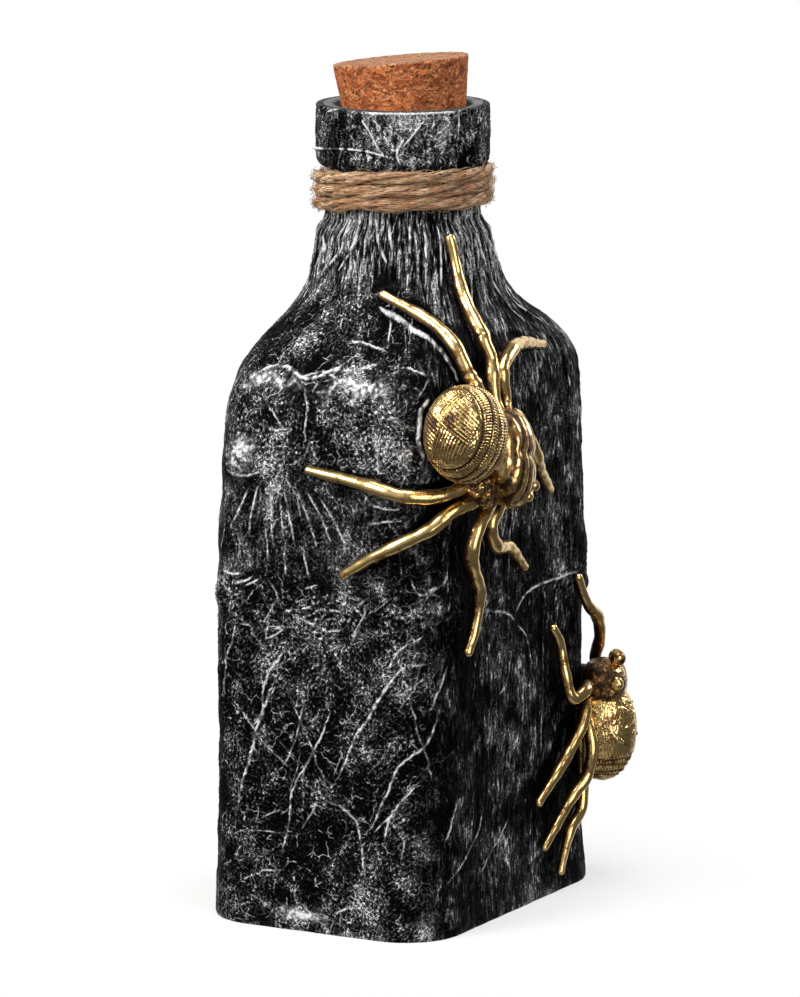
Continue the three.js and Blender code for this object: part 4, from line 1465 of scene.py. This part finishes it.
def make_glass():
    foot = glass_rings(FOOT_LEVELS, SKIN_DEPTH)
    rings = shrunk_rings(foot[0], BASE_RINGS) + foot
    rings += glass_rings(WALL_LEVELS, SKIN_DEPTH + GLASS_CLEAR)
    rings += glass_rings(THROAT_LEVELS, SKIN_DEPTH)
    rings += [ring_of(radius, radius, radius, z) for radius, z in LIP_PROFILE]
    rings += glass_rings(INSIDE_LEVELS, SKIN_DEPTH + GLASS_WALL)
    rings += shrunk_rings(rings[-1], FLOOR_RINGS)
    piece = mesh_object("bottle_glass", np.array(rings), grid_faces(len(rings), GLASS_COLUMNS))
    dress(piece, GLASS, "bottle", "dark_glass", "glass_bottle")


make_glass()

# Cork: scales of its granules and pits, the widths and depths of its seams and pits, and its roughness
CORK_COLUMNS = 220
GRANULE_SCALE = 0.55
SEAM_WIDTH = 0.12
SEAM_DEPTH = 0.07
PIT_SCALE = 0.42
PIT_SHIFT = 31.0
PIT_REACH = 0.17
PIT_DEPTH = 0.7
CORK_ROUGH = 0.1


def cork_profile():
    """Radius and level of the cork from the middle of its underside to the middle of its top."""
    bottom = CORK_TOP - CORK_LENGTH
    profile = [(share * (CORK_BOTTOM_RADIUS - CORK_EDGE), bottom) for share in np.linspace(0.02, 1, 14)]
    for share in np.linspace(0, 1, 58):
        level = lerp(bottom + CORK_EDGE, CORK_TOP - CORK_EDGE, share)
        profile.append((lerp(CORK_BOTTOM_RADIUS, CORK_TOP_RADIUS, share), level))
    for turn in np.linspace(0, math.pi / 2, 5)[1:]:
        radius = CORK_TOP_RADIUS - CORK_EDGE * (1 - math.cos(turn))
        profile.append((radius, CORK_TOP - CORK_EDGE * (1 - math.sin(turn))))
    for share in np.linspace(1, 0.01, 40)[1:]:
        profile.append((share * (CORK_TOP_RADIUS - CORK_EDGE), CORK_TOP))
    return np.array(profile)


def make_cork():
    profile = cork_profile()
    rows = len(profile)
    angle = angles_round(CORK_COLUMNS)
    radius = profile[:, :1]
    level = profile[:, 1:]
    local = round_axis(radius, angle, level)
    slope = np.gradient(profile, axis=0)
    slope = unit(np.stack([slope[:, 1], -slope[:, 0]], -1))
    normal = round_axis(slope[:, :1], angle, slope[:, 1:])
    push = np.zeros((rows, CORK_COLUMNS))
    pits = np.zeros((rows, CORK_COLUMNS))
    rough = fractal_over(local, 0.9, 3)
    for at in np.ndindex(rows, CORK_COLUMNS):
        nearest, next_nearest = noise.voronoi(Vector(local[at] * GRANULE_SCALE))[0][:2]
        hole = noise.voronoi(Vector(local[at] * PIT_SCALE + PIT_SHIFT))[0][0]
        seam = 1 - min(1.0, (next_nearest - nearest) / SEAM_WIDTH)
        hollow = max(0.0, 1 - hole / PIT_REACH)
        push[at] = CORK_ROUGH * rough[at] - SEAM_DEPTH * seam - PIT_DEPTH * min(1.0, hollow * 1.6)
        pits[at] = min(1.0, hollow * 1.8)
    local = local + normal * (push * np.clip(radius / 2.0, 0, 1))[..., None]
    top = smooth(CORK_TOP - 0.5, CORK_TOP - 0.1, level) * np.ones((1, CORK_COLUMNS))
    axes = np.array([
        [math.cos(CORK_LEAN), 0, math.sin(CORK_LEAN)],
        [0, 1, 0],
        [-math.sin(CORK_LEAN), 0, math.cos(CORK_LEAN)],
    ])
    values = {"pit": pits * 0.85, "top": top}
    piece = mesh_object("cork_body", CORK_PIVOT + local @ axes, grid_faces(rows, CORK_COLUMNS), values)
    dress(piece, CORK, "stopper", "cork", "cork_stopper")


make_cork()

# Twine of three plies
TWINE_STEPS = 560
TWINE_SIDES = 18
PLIES = 3
PLY_LAY = 31.0
PLY_SWING = 0.68
PLY_RADIUS = 0.95
FIBRE_COUNT = 900
FIBRE_STEPS = 6


def tube(centres, radii, sides):
    """Rings of points round a path, turned along it without twist."""
    ahead = unit(np.gradient(centres, axis=0))
    helper = np.array([0, 0, 1.0]) if abs(ahead[0][2]) < 0.9 else np.array([1.0, 0, 0])
    across = np.cross(ahead[0], helper)
    angle = angles_round(sides)[:, None]
    rings = []
    for centre, radius, onward in zip(centres, radii, ahead):
        across = unit(across - onward * (across @ onward))
        other = np.cross(onward, across)
        rings.append(centre + radius * (np.cos(angle) * across + np.sin(angle) * other))
    return np.array(rings)


def twine_centre(turn):
    """The middle of the winding, which rides up under the lip on the side toward the camera."""
    angle = TWINE_START + 2 * np.pi * turn
    ride = ((1 + np.cos(angle - TWINE_HIGH_SIDE)) / 2) ** 2
    level = TWINE_LOWEST + 1.4 + 0.96 * TWINE_PITCH * turn + lerp(TWINE_SINK, TWINE_RIDE, ride)
    wave = 0.12 * np.sin(angle * 3.0 + 0.5) + 0.1 * np.sin(angle * 7.0 + 2.0 * turn)
    return round_axis(TWINE_REACH, angle, level + wave)


def make_winding():
    turn = np.linspace(-0.03, TWINE_TURNS + 0.03, TWINE_STEPS)
    centre = twine_centre(turn)
    out = round_axis(1.0, TWINE_START + 2 * np.pi * turn, 0.0)
    up = unit(np.cross(out, unit(np.gradient(centre, axis=0))))
    up = up * np.sign(up[:, 2:])
    length = TWINE_REACH * 2 * np.pi * (turn - turn[0])
    run, side = np.meshgrid(length, angles_round(TWINE_SIDES), indexing="ij")
    grids = []
    values = {"along": [], "around": [], "ply": [], "deep": []}
    for ply in range(PLIES):
        twist = 2 * np.pi * (length / PLY_LAY + ply / PLIES) + 0.25 * np.sin(length / 9.0)
        path = centre + PLY_SWING * (np.cos(twist)[:, None] * out + np.sin(twist)[:, None] * up)
        uneven = 1 + 0.07 * np.sin(length / 3.1 + ply * 2) + 0.05 * np.sin(length / 1.3 + ply)
        rings = tube(path, PLY_RADIUS * uneven, TWINE_SIDES)
        strand = np.stack([run * 0.16, np.cos(side) * 2.6, np.sin(side) * 2.6 + ply * 9], -1)
        rough = 1 + 0.14 * fractal_over(strand, 1.0, 3)
        rings = path[:, None] + (rings - path[:, None]) * rough[..., None]
        inward = np.linalg.norm(rings - centre[:, None], axis=-1)
        grids.append(rings)
        values["along"].append(run)
        values["around"].append(np.cos(side))
        values["ply"].append(np.sin(side) + ply * 5.0)
        # Painted shade between the plies, darker toward the twine's middle
        values["deep"].append(0.9 * (1 - smooth(0.9, 1.55, inward)))
    values = {key: np.concatenate(fields) for key, fields in values.items()}
    piece = mesh_object("twine_winding", *joined(grids), values)
    dress(piece, JUTE, "bottle", "jute", "neck_twine")


def make_fibres():
    """Loose fibres standing off the strands."""
    upward = np.array([0, 0, 1.0])
    share = np.linspace(-0.5, 0.5, FIBRE_STEPS)[:, None]
    grids = []
    for _ in range(FIBRE_COUNT):
        at = chance.random() * TWINE_TURNS
        heading = TWINE_START + 2 * np.pi * at
        outward = np.array([math.cos(heading), math.sin(heading), 0])
        onward = np.array([-math.sin(heading), math.cos(heading), 0.03])
        lean = chance.normal(0, 0.9)
        off = outward * math.cos(lean) + upward * math.sin(lean)
        reach = 2.0 + 3.5 * chance.random()
        stand = 0.25 + 0.9 * chance.random() ** 2
        drift = chance.normal(0, 0.5)
        arch = off * (1.5 + stand * (1 - 3.2 * share**2))
        path = twine_centre(at) + arch + onward * share * reach + upward * share * drift
        radius = 0.045 + 0.03 * chance.random()
        grids.append(tube(path, np.full(FIBRE_STEPS, radius), 3))
    piece = mesh_object("twine_fibres", *joined(grids))
    dress(piece, FIBRE, "bottle", "jute")


make_winding()
make_fibres()

# Spiders. Rings round the abdomens, in degrees from the rear
UPPER_RINGS = (60, 77, 91, 104, 117, 131, 146)
LOWER_RINGS = (24, 33, 42, 51, 60)
LAST_BAND_END = 168
ABDOMEN_GRID = (230, 400)
HEAD_GRID = (110, 150)
FEATURE_GRID = (44, 60)

# The lower spider's head, boxier than the upper one's, in millimetres along, across and off
LOWER_HEAD = {"middle": [6.1, 0.0, -1.4], "half": [6.2, 6.8, 5.6], "power": 2.6}

# How the upper spider's head leans toward its face, per millimetre below its middle
HEAD_DROOP = [0.32, -0.26, 0.24]

# Folds over the upper spider's head: place along it, half width and height
HEAD_FOLDS = ((-0.78, 0.07, 0.26), (-0.5, 0.075, 0.34), (-0.22, 0.08, 0.28), (0.1, 0.1, 0.16))

# Smaller forms of the heads: place, half sizes, roughness and tarnish
UPPER_FEATURES = [
    ([3.5, -11.0, -1.5], [6.8, 3.4, 3.6], 0.9, 0.55),
    ([13.2, -9.6, 5.0], [1.5, 1.5, 1.5], 0.0, 0.1),
    ([15.2, -6.6, 5.2], [1.5, 1.5, 1.5], 0.0, 0.1),
    ([11.0, -11.4, 2.0], [2.6, 1.6, 1.9], 0.25, 0.35),
    ([14.6, -9.0, 1.0], [2.4, 1.6, 1.9], 0.25, 0.35),
]
LOWER_FEATURES = [
    ([12.8, 2.6, 2.1], [1.95, 1.95, 1.95], 0.0, 0.35),
    ([12.2, -2.6, 1.4], [1.95, 1.95, 1.95], 0.0, 0.35),
    ([7.2, 6.2, 2.0], [1.9, 1.4, 1.7], 0.1, 0.0),
    ([7.2, -6.2, 2.0], [1.9, 1.4, 1.7], 0.1, 0.0),
    ([1.0, 0.0, -1.2], [5.0, 6.8, 6.0], 0.15, 0.35),
    ([4.5, 0.5, -5.0], [6.0, 5.8, 2.6], 0.3, 0.6),
]
LEG_RINGS = 120
LEG_SIDES = 28


def egg_grid(rows, columns):
    """Angles from a ball's rear pole and round it, and directions, from the rear pole to the front one."""
    theta, phi = np.meshgrid(np.linspace(0.004, math.pi - 0.004, rows), angles_round(columns), indexing="ij")
    round_ = np.stack([-np.cos(theta), np.sin(theta) * np.cos(phi), np.sin(theta) * np.sin(phi)], -1)
    return theta, phi, round_


def band_ridges(rings, degrees, phi, girdle):
    """Short ridges across each band between the rings, slanting one way and the other in turn."""
    across = np.zeros_like(phi)
    for number, (low, high) in enumerate(zip(rings, rings[1:] + (LAST_BAND_END,))):
        band = smooth(low, low + 3, degrees) * (1 - smooth(high - 3, high, degrees))
        count = int(2 * math.pi * girdle * math.sin(math.radians((low + high) / 2)) / 0.75)
        slant = (-0.05 if number % 2 else 0.06) * (degrees - low)
        across += band * np.cos(count * phi + slant * 6 + 0.8 * np.sin(5 * phi))
    return across


def rear_panel(theta, phi, degrees, girdle):
    """Height and patina of a rear panel quartered by raised lines, each quarter lined its own way."""
    p = girdle * theta * np.cos(phi - 0.5)
    q = girdle * theta * np.sin(phi - 0.5)
    rear = 1 - smooth(44, 54, degrees)
    lined = np.where(p * q > 0, np.cos(p * 6.4), np.cos(q * 6.4))
    cross = np.maximum(bump(p, 0, 0.28), bump(q, 0, 0.28)) * rear
    panel = bump(np.hypot(p, q), 2.6, 1.5) * rear * (1 - cross)
    height = 0.1 * rear * lined + 0.2 * cross - 0.14 * panel
    return height, 0.7 * panel * (p * q > 0) - 0.15 * cross + 0.5 * rear * np.clip(-lined, 0, 1)


def make_abdomen(name, spider):
    size = spider["size"]
    half = np.array(spider.get("abdomen_half", ABDOMEN_HALF * size))
    theta, phi, round_ = egg_grid(*ABDOMEN_GRID)
    degrees = np.degrees(theta)
    local = round_ * half
    normal = unit(round_ / half)
    push = np.zeros_like(theta)
    groove = np.zeros_like(theta)
    rings = UPPER_RINGS if spider["ringed"] else LOWER_RINGS
    deep = 0.3 if spider["ringed"] else 0.16
    for ring in rings:
        groove = np.maximum(groove, bump(degrees, ring + 1.5 * np.sin(2 * phi + ring), 1.7))
        push += 0.4 * deep * bump(degrees, ring + 4.5, 2.2)
    push -= deep * groove
    across = band_ridges(rings, degrees, phi, half[1])
    between = np.clip(-across, 0, 1)
    if spider["ringed"]:
        panel_height, panel_dark = rear_panel(theta, phi, degrees, half[1])
        push += 0.11 * across + panel_height
        dark = 0.9 * groove + 0.6 * between + panel_dark
    else:
        ribbed = 1 - smooth(60, 70, degrees)
        leaf = np.cos(9 * phi + 2.2 * np.sin(theta * 9)) * np.cos(theta * 11 + 3 * np.sin(2 * phi))
        leaf = smooth(0.55, 0.85, leaf) * smooth(70, 84, degrees) * (1 - smooth(128, 145, degrees))
        push += 0.08 * across * ribbed + 0.3 * leaf
        dark = 0.4 * groove + 0.15 - 0.35 * leaf + 0.3 * between * ribbed
    # The waist is drawn in
    push -= 0.5 * size * (1 - smooth(0, 26, 180 - degrees))
    coarse = fractal_over(local, 0.5, 2)
    grit = grit_over(local, 2.4)
    push += 0.12 * coarse + 0.08 * grit
    dark += 0.25 * coarse - 0.35 * grit
    # Patina at the waist, with painted shade where it meets the head, and painted shade on the underside
    # turned to the paper
    dark += 0.35 * (1 - smooth(0, 30, 180 - degrees)) + 0.25 * smooth(0.2, 0.9, -normal[..., 2])
    middle = np.array(spider.get("abdomen_middle", [-half[0] - CLEARANCE / 2, 0, 0]))
    points = spider_frame(spider)(middle + local + normal * push[..., None])
    faces = grid_faces(*ABDOMEN_GRID)[:, ::-1]
    piece = mesh_object(f"{name}_abdomen_cast", points, faces, {"tarnish_and_shade": np.clip(dark, 0, 1)})
    dress(piece, GOLD, "bottle", "gilt", f"{name}_abdomen")


def head_form(spider):
    """Points, in the spider's own frame, and patina and painted shade of a head."""
    ringed = spider["ringed"]
    theta, _, round_ = egg_grid(*HEAD_GRID)
    if ringed:
        half = HEAD_HALF * spider["size"]
        middle = np.array([half[0] + CLEARANCE / 2, 0, 0])
        local = round_ * half
        local = local + np.maximum(-local[..., 1:2], 0) * np.array(HEAD_DROOP)
    else:
        half = np.array(LOWER_HEAD["half"])
        middle = np.array(LOWER_HEAD["middle"])
        power = LOWER_HEAD["power"]
        local = round_ * (np.abs(round_) ** power).sum(-1, keepdims=True) ** (-1 / power) * half
    normal = unit(round_ / half)
    along = round_[..., 0]
    side = round_[..., 1]
    push = np.zeros_like(theta)
    dark = np.zeros_like(theta)
    if ringed:
        bowed = along + 0.12 * side**2
        for fold, width, height in HEAD_FOLDS:
            push += height * bump(bowed, fold, width) * np.sin(theta)
            dark += 0.6 * bump(bowed, fold + 0.14, 0.06) * np.sin(theta)
    # A furrow down the middle, and swells toward the leg roots
    over = smooth(-0.2, 0.5, round_[..., 2])
    push -= 0.35 * spider["size"] * bump(side, 0, 0.12) * over * (along > -0.6)
    for spread in np.radians(LEG_ROOTS):
        for hand in (-1, 1):
            far = (along - math.sin(spread)) ** 2 + (side - hand * math.cos(spread)) ** 2
            push += 0.55 * np.exp(-far / 0.03)
            dark += 0.25 * np.exp(-far / 0.02)
    coarse = fractal_over(local, 0.6, 2)
    grit = grit_over(local, 1.8)
    push += 0.1 * coarse + (0.03 if ringed else 0.12) * grit
    # Patina, with painted shade on the underside turned to the paper
    dark += 0.3 * coarse + 0.15 + 0.3 * smooth(0.2, 0.9, -normal[..., 2])
    if not ringed:
        # The lower head browner with random grit, and painted shade darker still underneath
        dark += 0.26 - 0.3 * grit + 0.25 * smooth(0.2, 0.9, -round_[..., 2])
    return middle + local + normal * push[..., None], dark


def make_head(name, spider):
    local, dark = head_form(spider)
    grids = [local]
    marks = [dark.ravel()]
    round_ = egg_grid(*FEATURE_GRID)[2]
    for at, halves, rough, mark in UPPER_FEATURES if spider["ringed"] else LOWER_FEATURES:
        local = np.array(at) + round_ * np.array(halves)
        push = fractal_over(local, 0.7, 3)
        grids.append(local + round_ * (rough * push)[..., None])
        marks.append((mark - 0.5 * push).ravel())
    points, faces = joined(grids)
    tarnish_and_shade = np.clip(np.concatenate(marks), 0, 1)
    place = spider_frame(spider)
    piece = mesh_object(f"{name}_head_cast", place(points), faces[:, ::-1], {"tarnish_and_shade": tarnish_and_shade})
    dress(piece, GOLD, "bottle", "gilt", f"{name}_head")


def leg_thickness(share):
    root = 0.75 + 0.25 * smooth(0, 0.2, share)
    return root * lerp(1, 0.7, smooth(0.45, 1, share))


def make_legs(name, spider):
    thick = LEG_RADIUS * spider["size"] * spider["stout"] * leg_thickness(np.linspace(0, 1, LEG_RINGS))
    for label, knots in leg_paths(spider):
        path = curve_through(knots, count=LEG_RINGS)
        girth, level, off = path.T
        centres = skin_point(girth, level, np.maximum(off, 0.9 * thick))
        run = run_along(centres)
        swell = 1 + 0.05 * np.sin(run * 0.5 + len(label)) + 0.03 * np.sin(run * 1.3 + 2 * len(label))
        # Patina toward the root, with painted shade where the leg meets the body
        dark = 0.06 + 0.45 * np.exp(-run / (2.4 * spider["size"]))
        for knot in knots[3:-1]:
            joint = run[np.argmin(np.linalg.norm(path - knot, axis=1))]
            swell += 0.05 * bump(run, joint, 2.2)
            dark += 0.08 * bump(run, joint + 2.2, 1.2)
        if label == spider.get("cuffed"):
            seen = to_pixels(centres) - np.array(CUFF_PIXEL)
            cuff = run[np.argmin(np.linalg.norm(seen, axis=1))]
            swell += 0.16 * bump(run, cuff - 1.1, 0.7) + 0.16 * bump(run, cuff + 1.1, 0.7)
            dark += 0.4 * bump(run, cuff, 0.4) + 0.5 * bump(run, cuff + 2.3, 0.5) - 0.2 * bump(run, cuff, 2)
        left = np.clip((run[-1] - run) / (0.8 * thick), 0, 1)
        tip = np.sqrt(np.clip(1 - (1 - left) ** 2, 0.0004, 1))
        made = tube(centres, thick * swell * tip, LEG_SIDES)
        outward = normal_of(outline, girth, level)
        facing = np.einsum("ijk,ik->ij", unit(made - centres[:, None]), outward)
        # Painted shade and painted dark reflection on the side turned to the paper, with random patina
        mark = dark[:, None] + 0.85 * smooth(-0.6, 0.6, -facing) + 0.25 * fractal_over(made, 0.4, 2)
        faces = grid_faces(LEG_RINGS, LEG_SIDES)
        piece = mesh_object(f"{name}_{label}_cast", made, faces, {"tarnish_and_shade": np.clip(mark, 0, 1)})
        dress(piece, GOLD, "bottle", "gilt", f"{name}_{label}")


for title, spider in (("upper_spider", UPPER_SPIDER), ("lower_spider", LOWER_SPIDER)):
    make_abdomen(title, spider)
    make_head(title, spider)
    make_legs(title, spider)


# Stage and lamps, in metres: place, height aimed at, size, power and colour
FLOOR_REACH = 0.9
KEY_PLACE = (-0.55, -0.95, 0.75)
WHITE = (1.0, 1.0, 1.0)
LAMPS = (
    ("key", KEY_PLACE, 0.11, (0.75, 0.75), 20, (1.0, 0.98, 0.95)),
    ("fill", (0.95, -0.55, 0.35), 0.1, (0.7, 1.0), 6, WHITE),
    ("top", (0.1, -0.1, 1.1), 0.1, (0.6, 0.6), 7, WHITE),
    ("rim", (0.5, 0.9, 0.6), 0.12, (0.5, 0.5), 5, WHITE),
)


def make_floor():
    """A pale floor that holds the bottle's shadow and fades out away from it."""
    mesh = bpy.data.meshes.new("floor")
    corners = [(x * FLOOR_REACH, y * FLOOR_REACH, 0) for x, y in ((-1, -1), (1, -1), (1, 1), (-1, 1))]
    mesh.from_pydata(corners, [], [(0, 1, 2, 3)])
    floor = bpy.data.objects.new("floor", mesh)
    scene.collection.objects.link(floor)
    material, tree, shader = new_material("pale_floor")
    wire(tree, shader, {"Base Color": (0.9, 0.9, 0.9, 1), "Roughness": 0.9})
    clear = add(tree, "ShaderNodeBsdfTransparent")
    edge = ramp(tree, vector_node(tree, "LENGTH", object_place(tree)), 0.04, 0.1, 0.6, 1.0)
    blend = add(tree, "ShaderNodeMixShader", {0: edge, 1: shader.outputs[0], 2: clear.outputs[0]})
    tree.links.new(blend.outputs[0], tree.nodes["Material Output"].inputs["Surface"])
    floor.data.materials.append(material)


def make_world():
    """White to the camera. In gloss, a white backdrop behind the bottle and a glow round the key lamp."""
    world = bpy.data.worlds.new("studio")
    scene.world = world
    world.use_nodes = True
    tree = world.node_tree
    shown = tree.nodes["Background"]
    wire(tree, shown, {"Color": WHITE + (1.0,), "Strength": 1.0})
    soft = add(tree, "ShaderNodeBackground", {"Color": (0.95, 0.97, 1.0, 1), "Strength": 0.1})
    path = add(tree, "ShaderNodeLightPath").outputs
    look = add(tree, "ShaderNodeTexCoord").outputs["Generated"]
    away, key_side = (
        vector_node(tree, "DOT_PRODUCT", look, tuple(float(v) for v in unit(np.array(side))))
        for side in ([-BACK[0], -BACK[1], 0.0], KEY_PLACE)
    )
    backdrop = ramp(tree, away, 0.4, 0.95)
    glow = ramp(tree, key_side, 0.2, 0.95, 0.0, 0.5)
    glossy = math_node(tree, "MULTIPLY", math_node(tree, "MAXIMUM", backdrop, glow), path["Is Glossy Ray"])
    seen = math_node(tree, "MAXIMUM", path["Is Camera Ray"], path["Is Transmission Ray"])
    share = math_node(tree, "MAXIMUM", seen, glossy)
    both = add(tree, "ShaderNodeMixShader", {0: share, 1: soft.outputs[0], 2: shown.outputs[0]})
    tree.links.new(both.outputs[0], tree.nodes["World Output"].inputs["Surface"])


def make_light(name, place, aim_height, size, power, colour):
    data = bpy.data.lights.new(name, "AREA")
    data.shape = "RECTANGLE"
    data.size, data.size_y = size
    data.energy = power
    data.color = colour
    lamp = bpy.data.objects.new(name, data)
    scene.collection.objects.link(lamp)
    lamp.location = place
    lamp.rotation_mode = "QUATERNION"
    lamp.rotation_quaternion = (Vector((0, 0, aim_height)) - Vector(place)).to_track_quat("-Z", "Y")


make_floor()
make_world()
for settings in LAMPS:
    make_light(*settings)
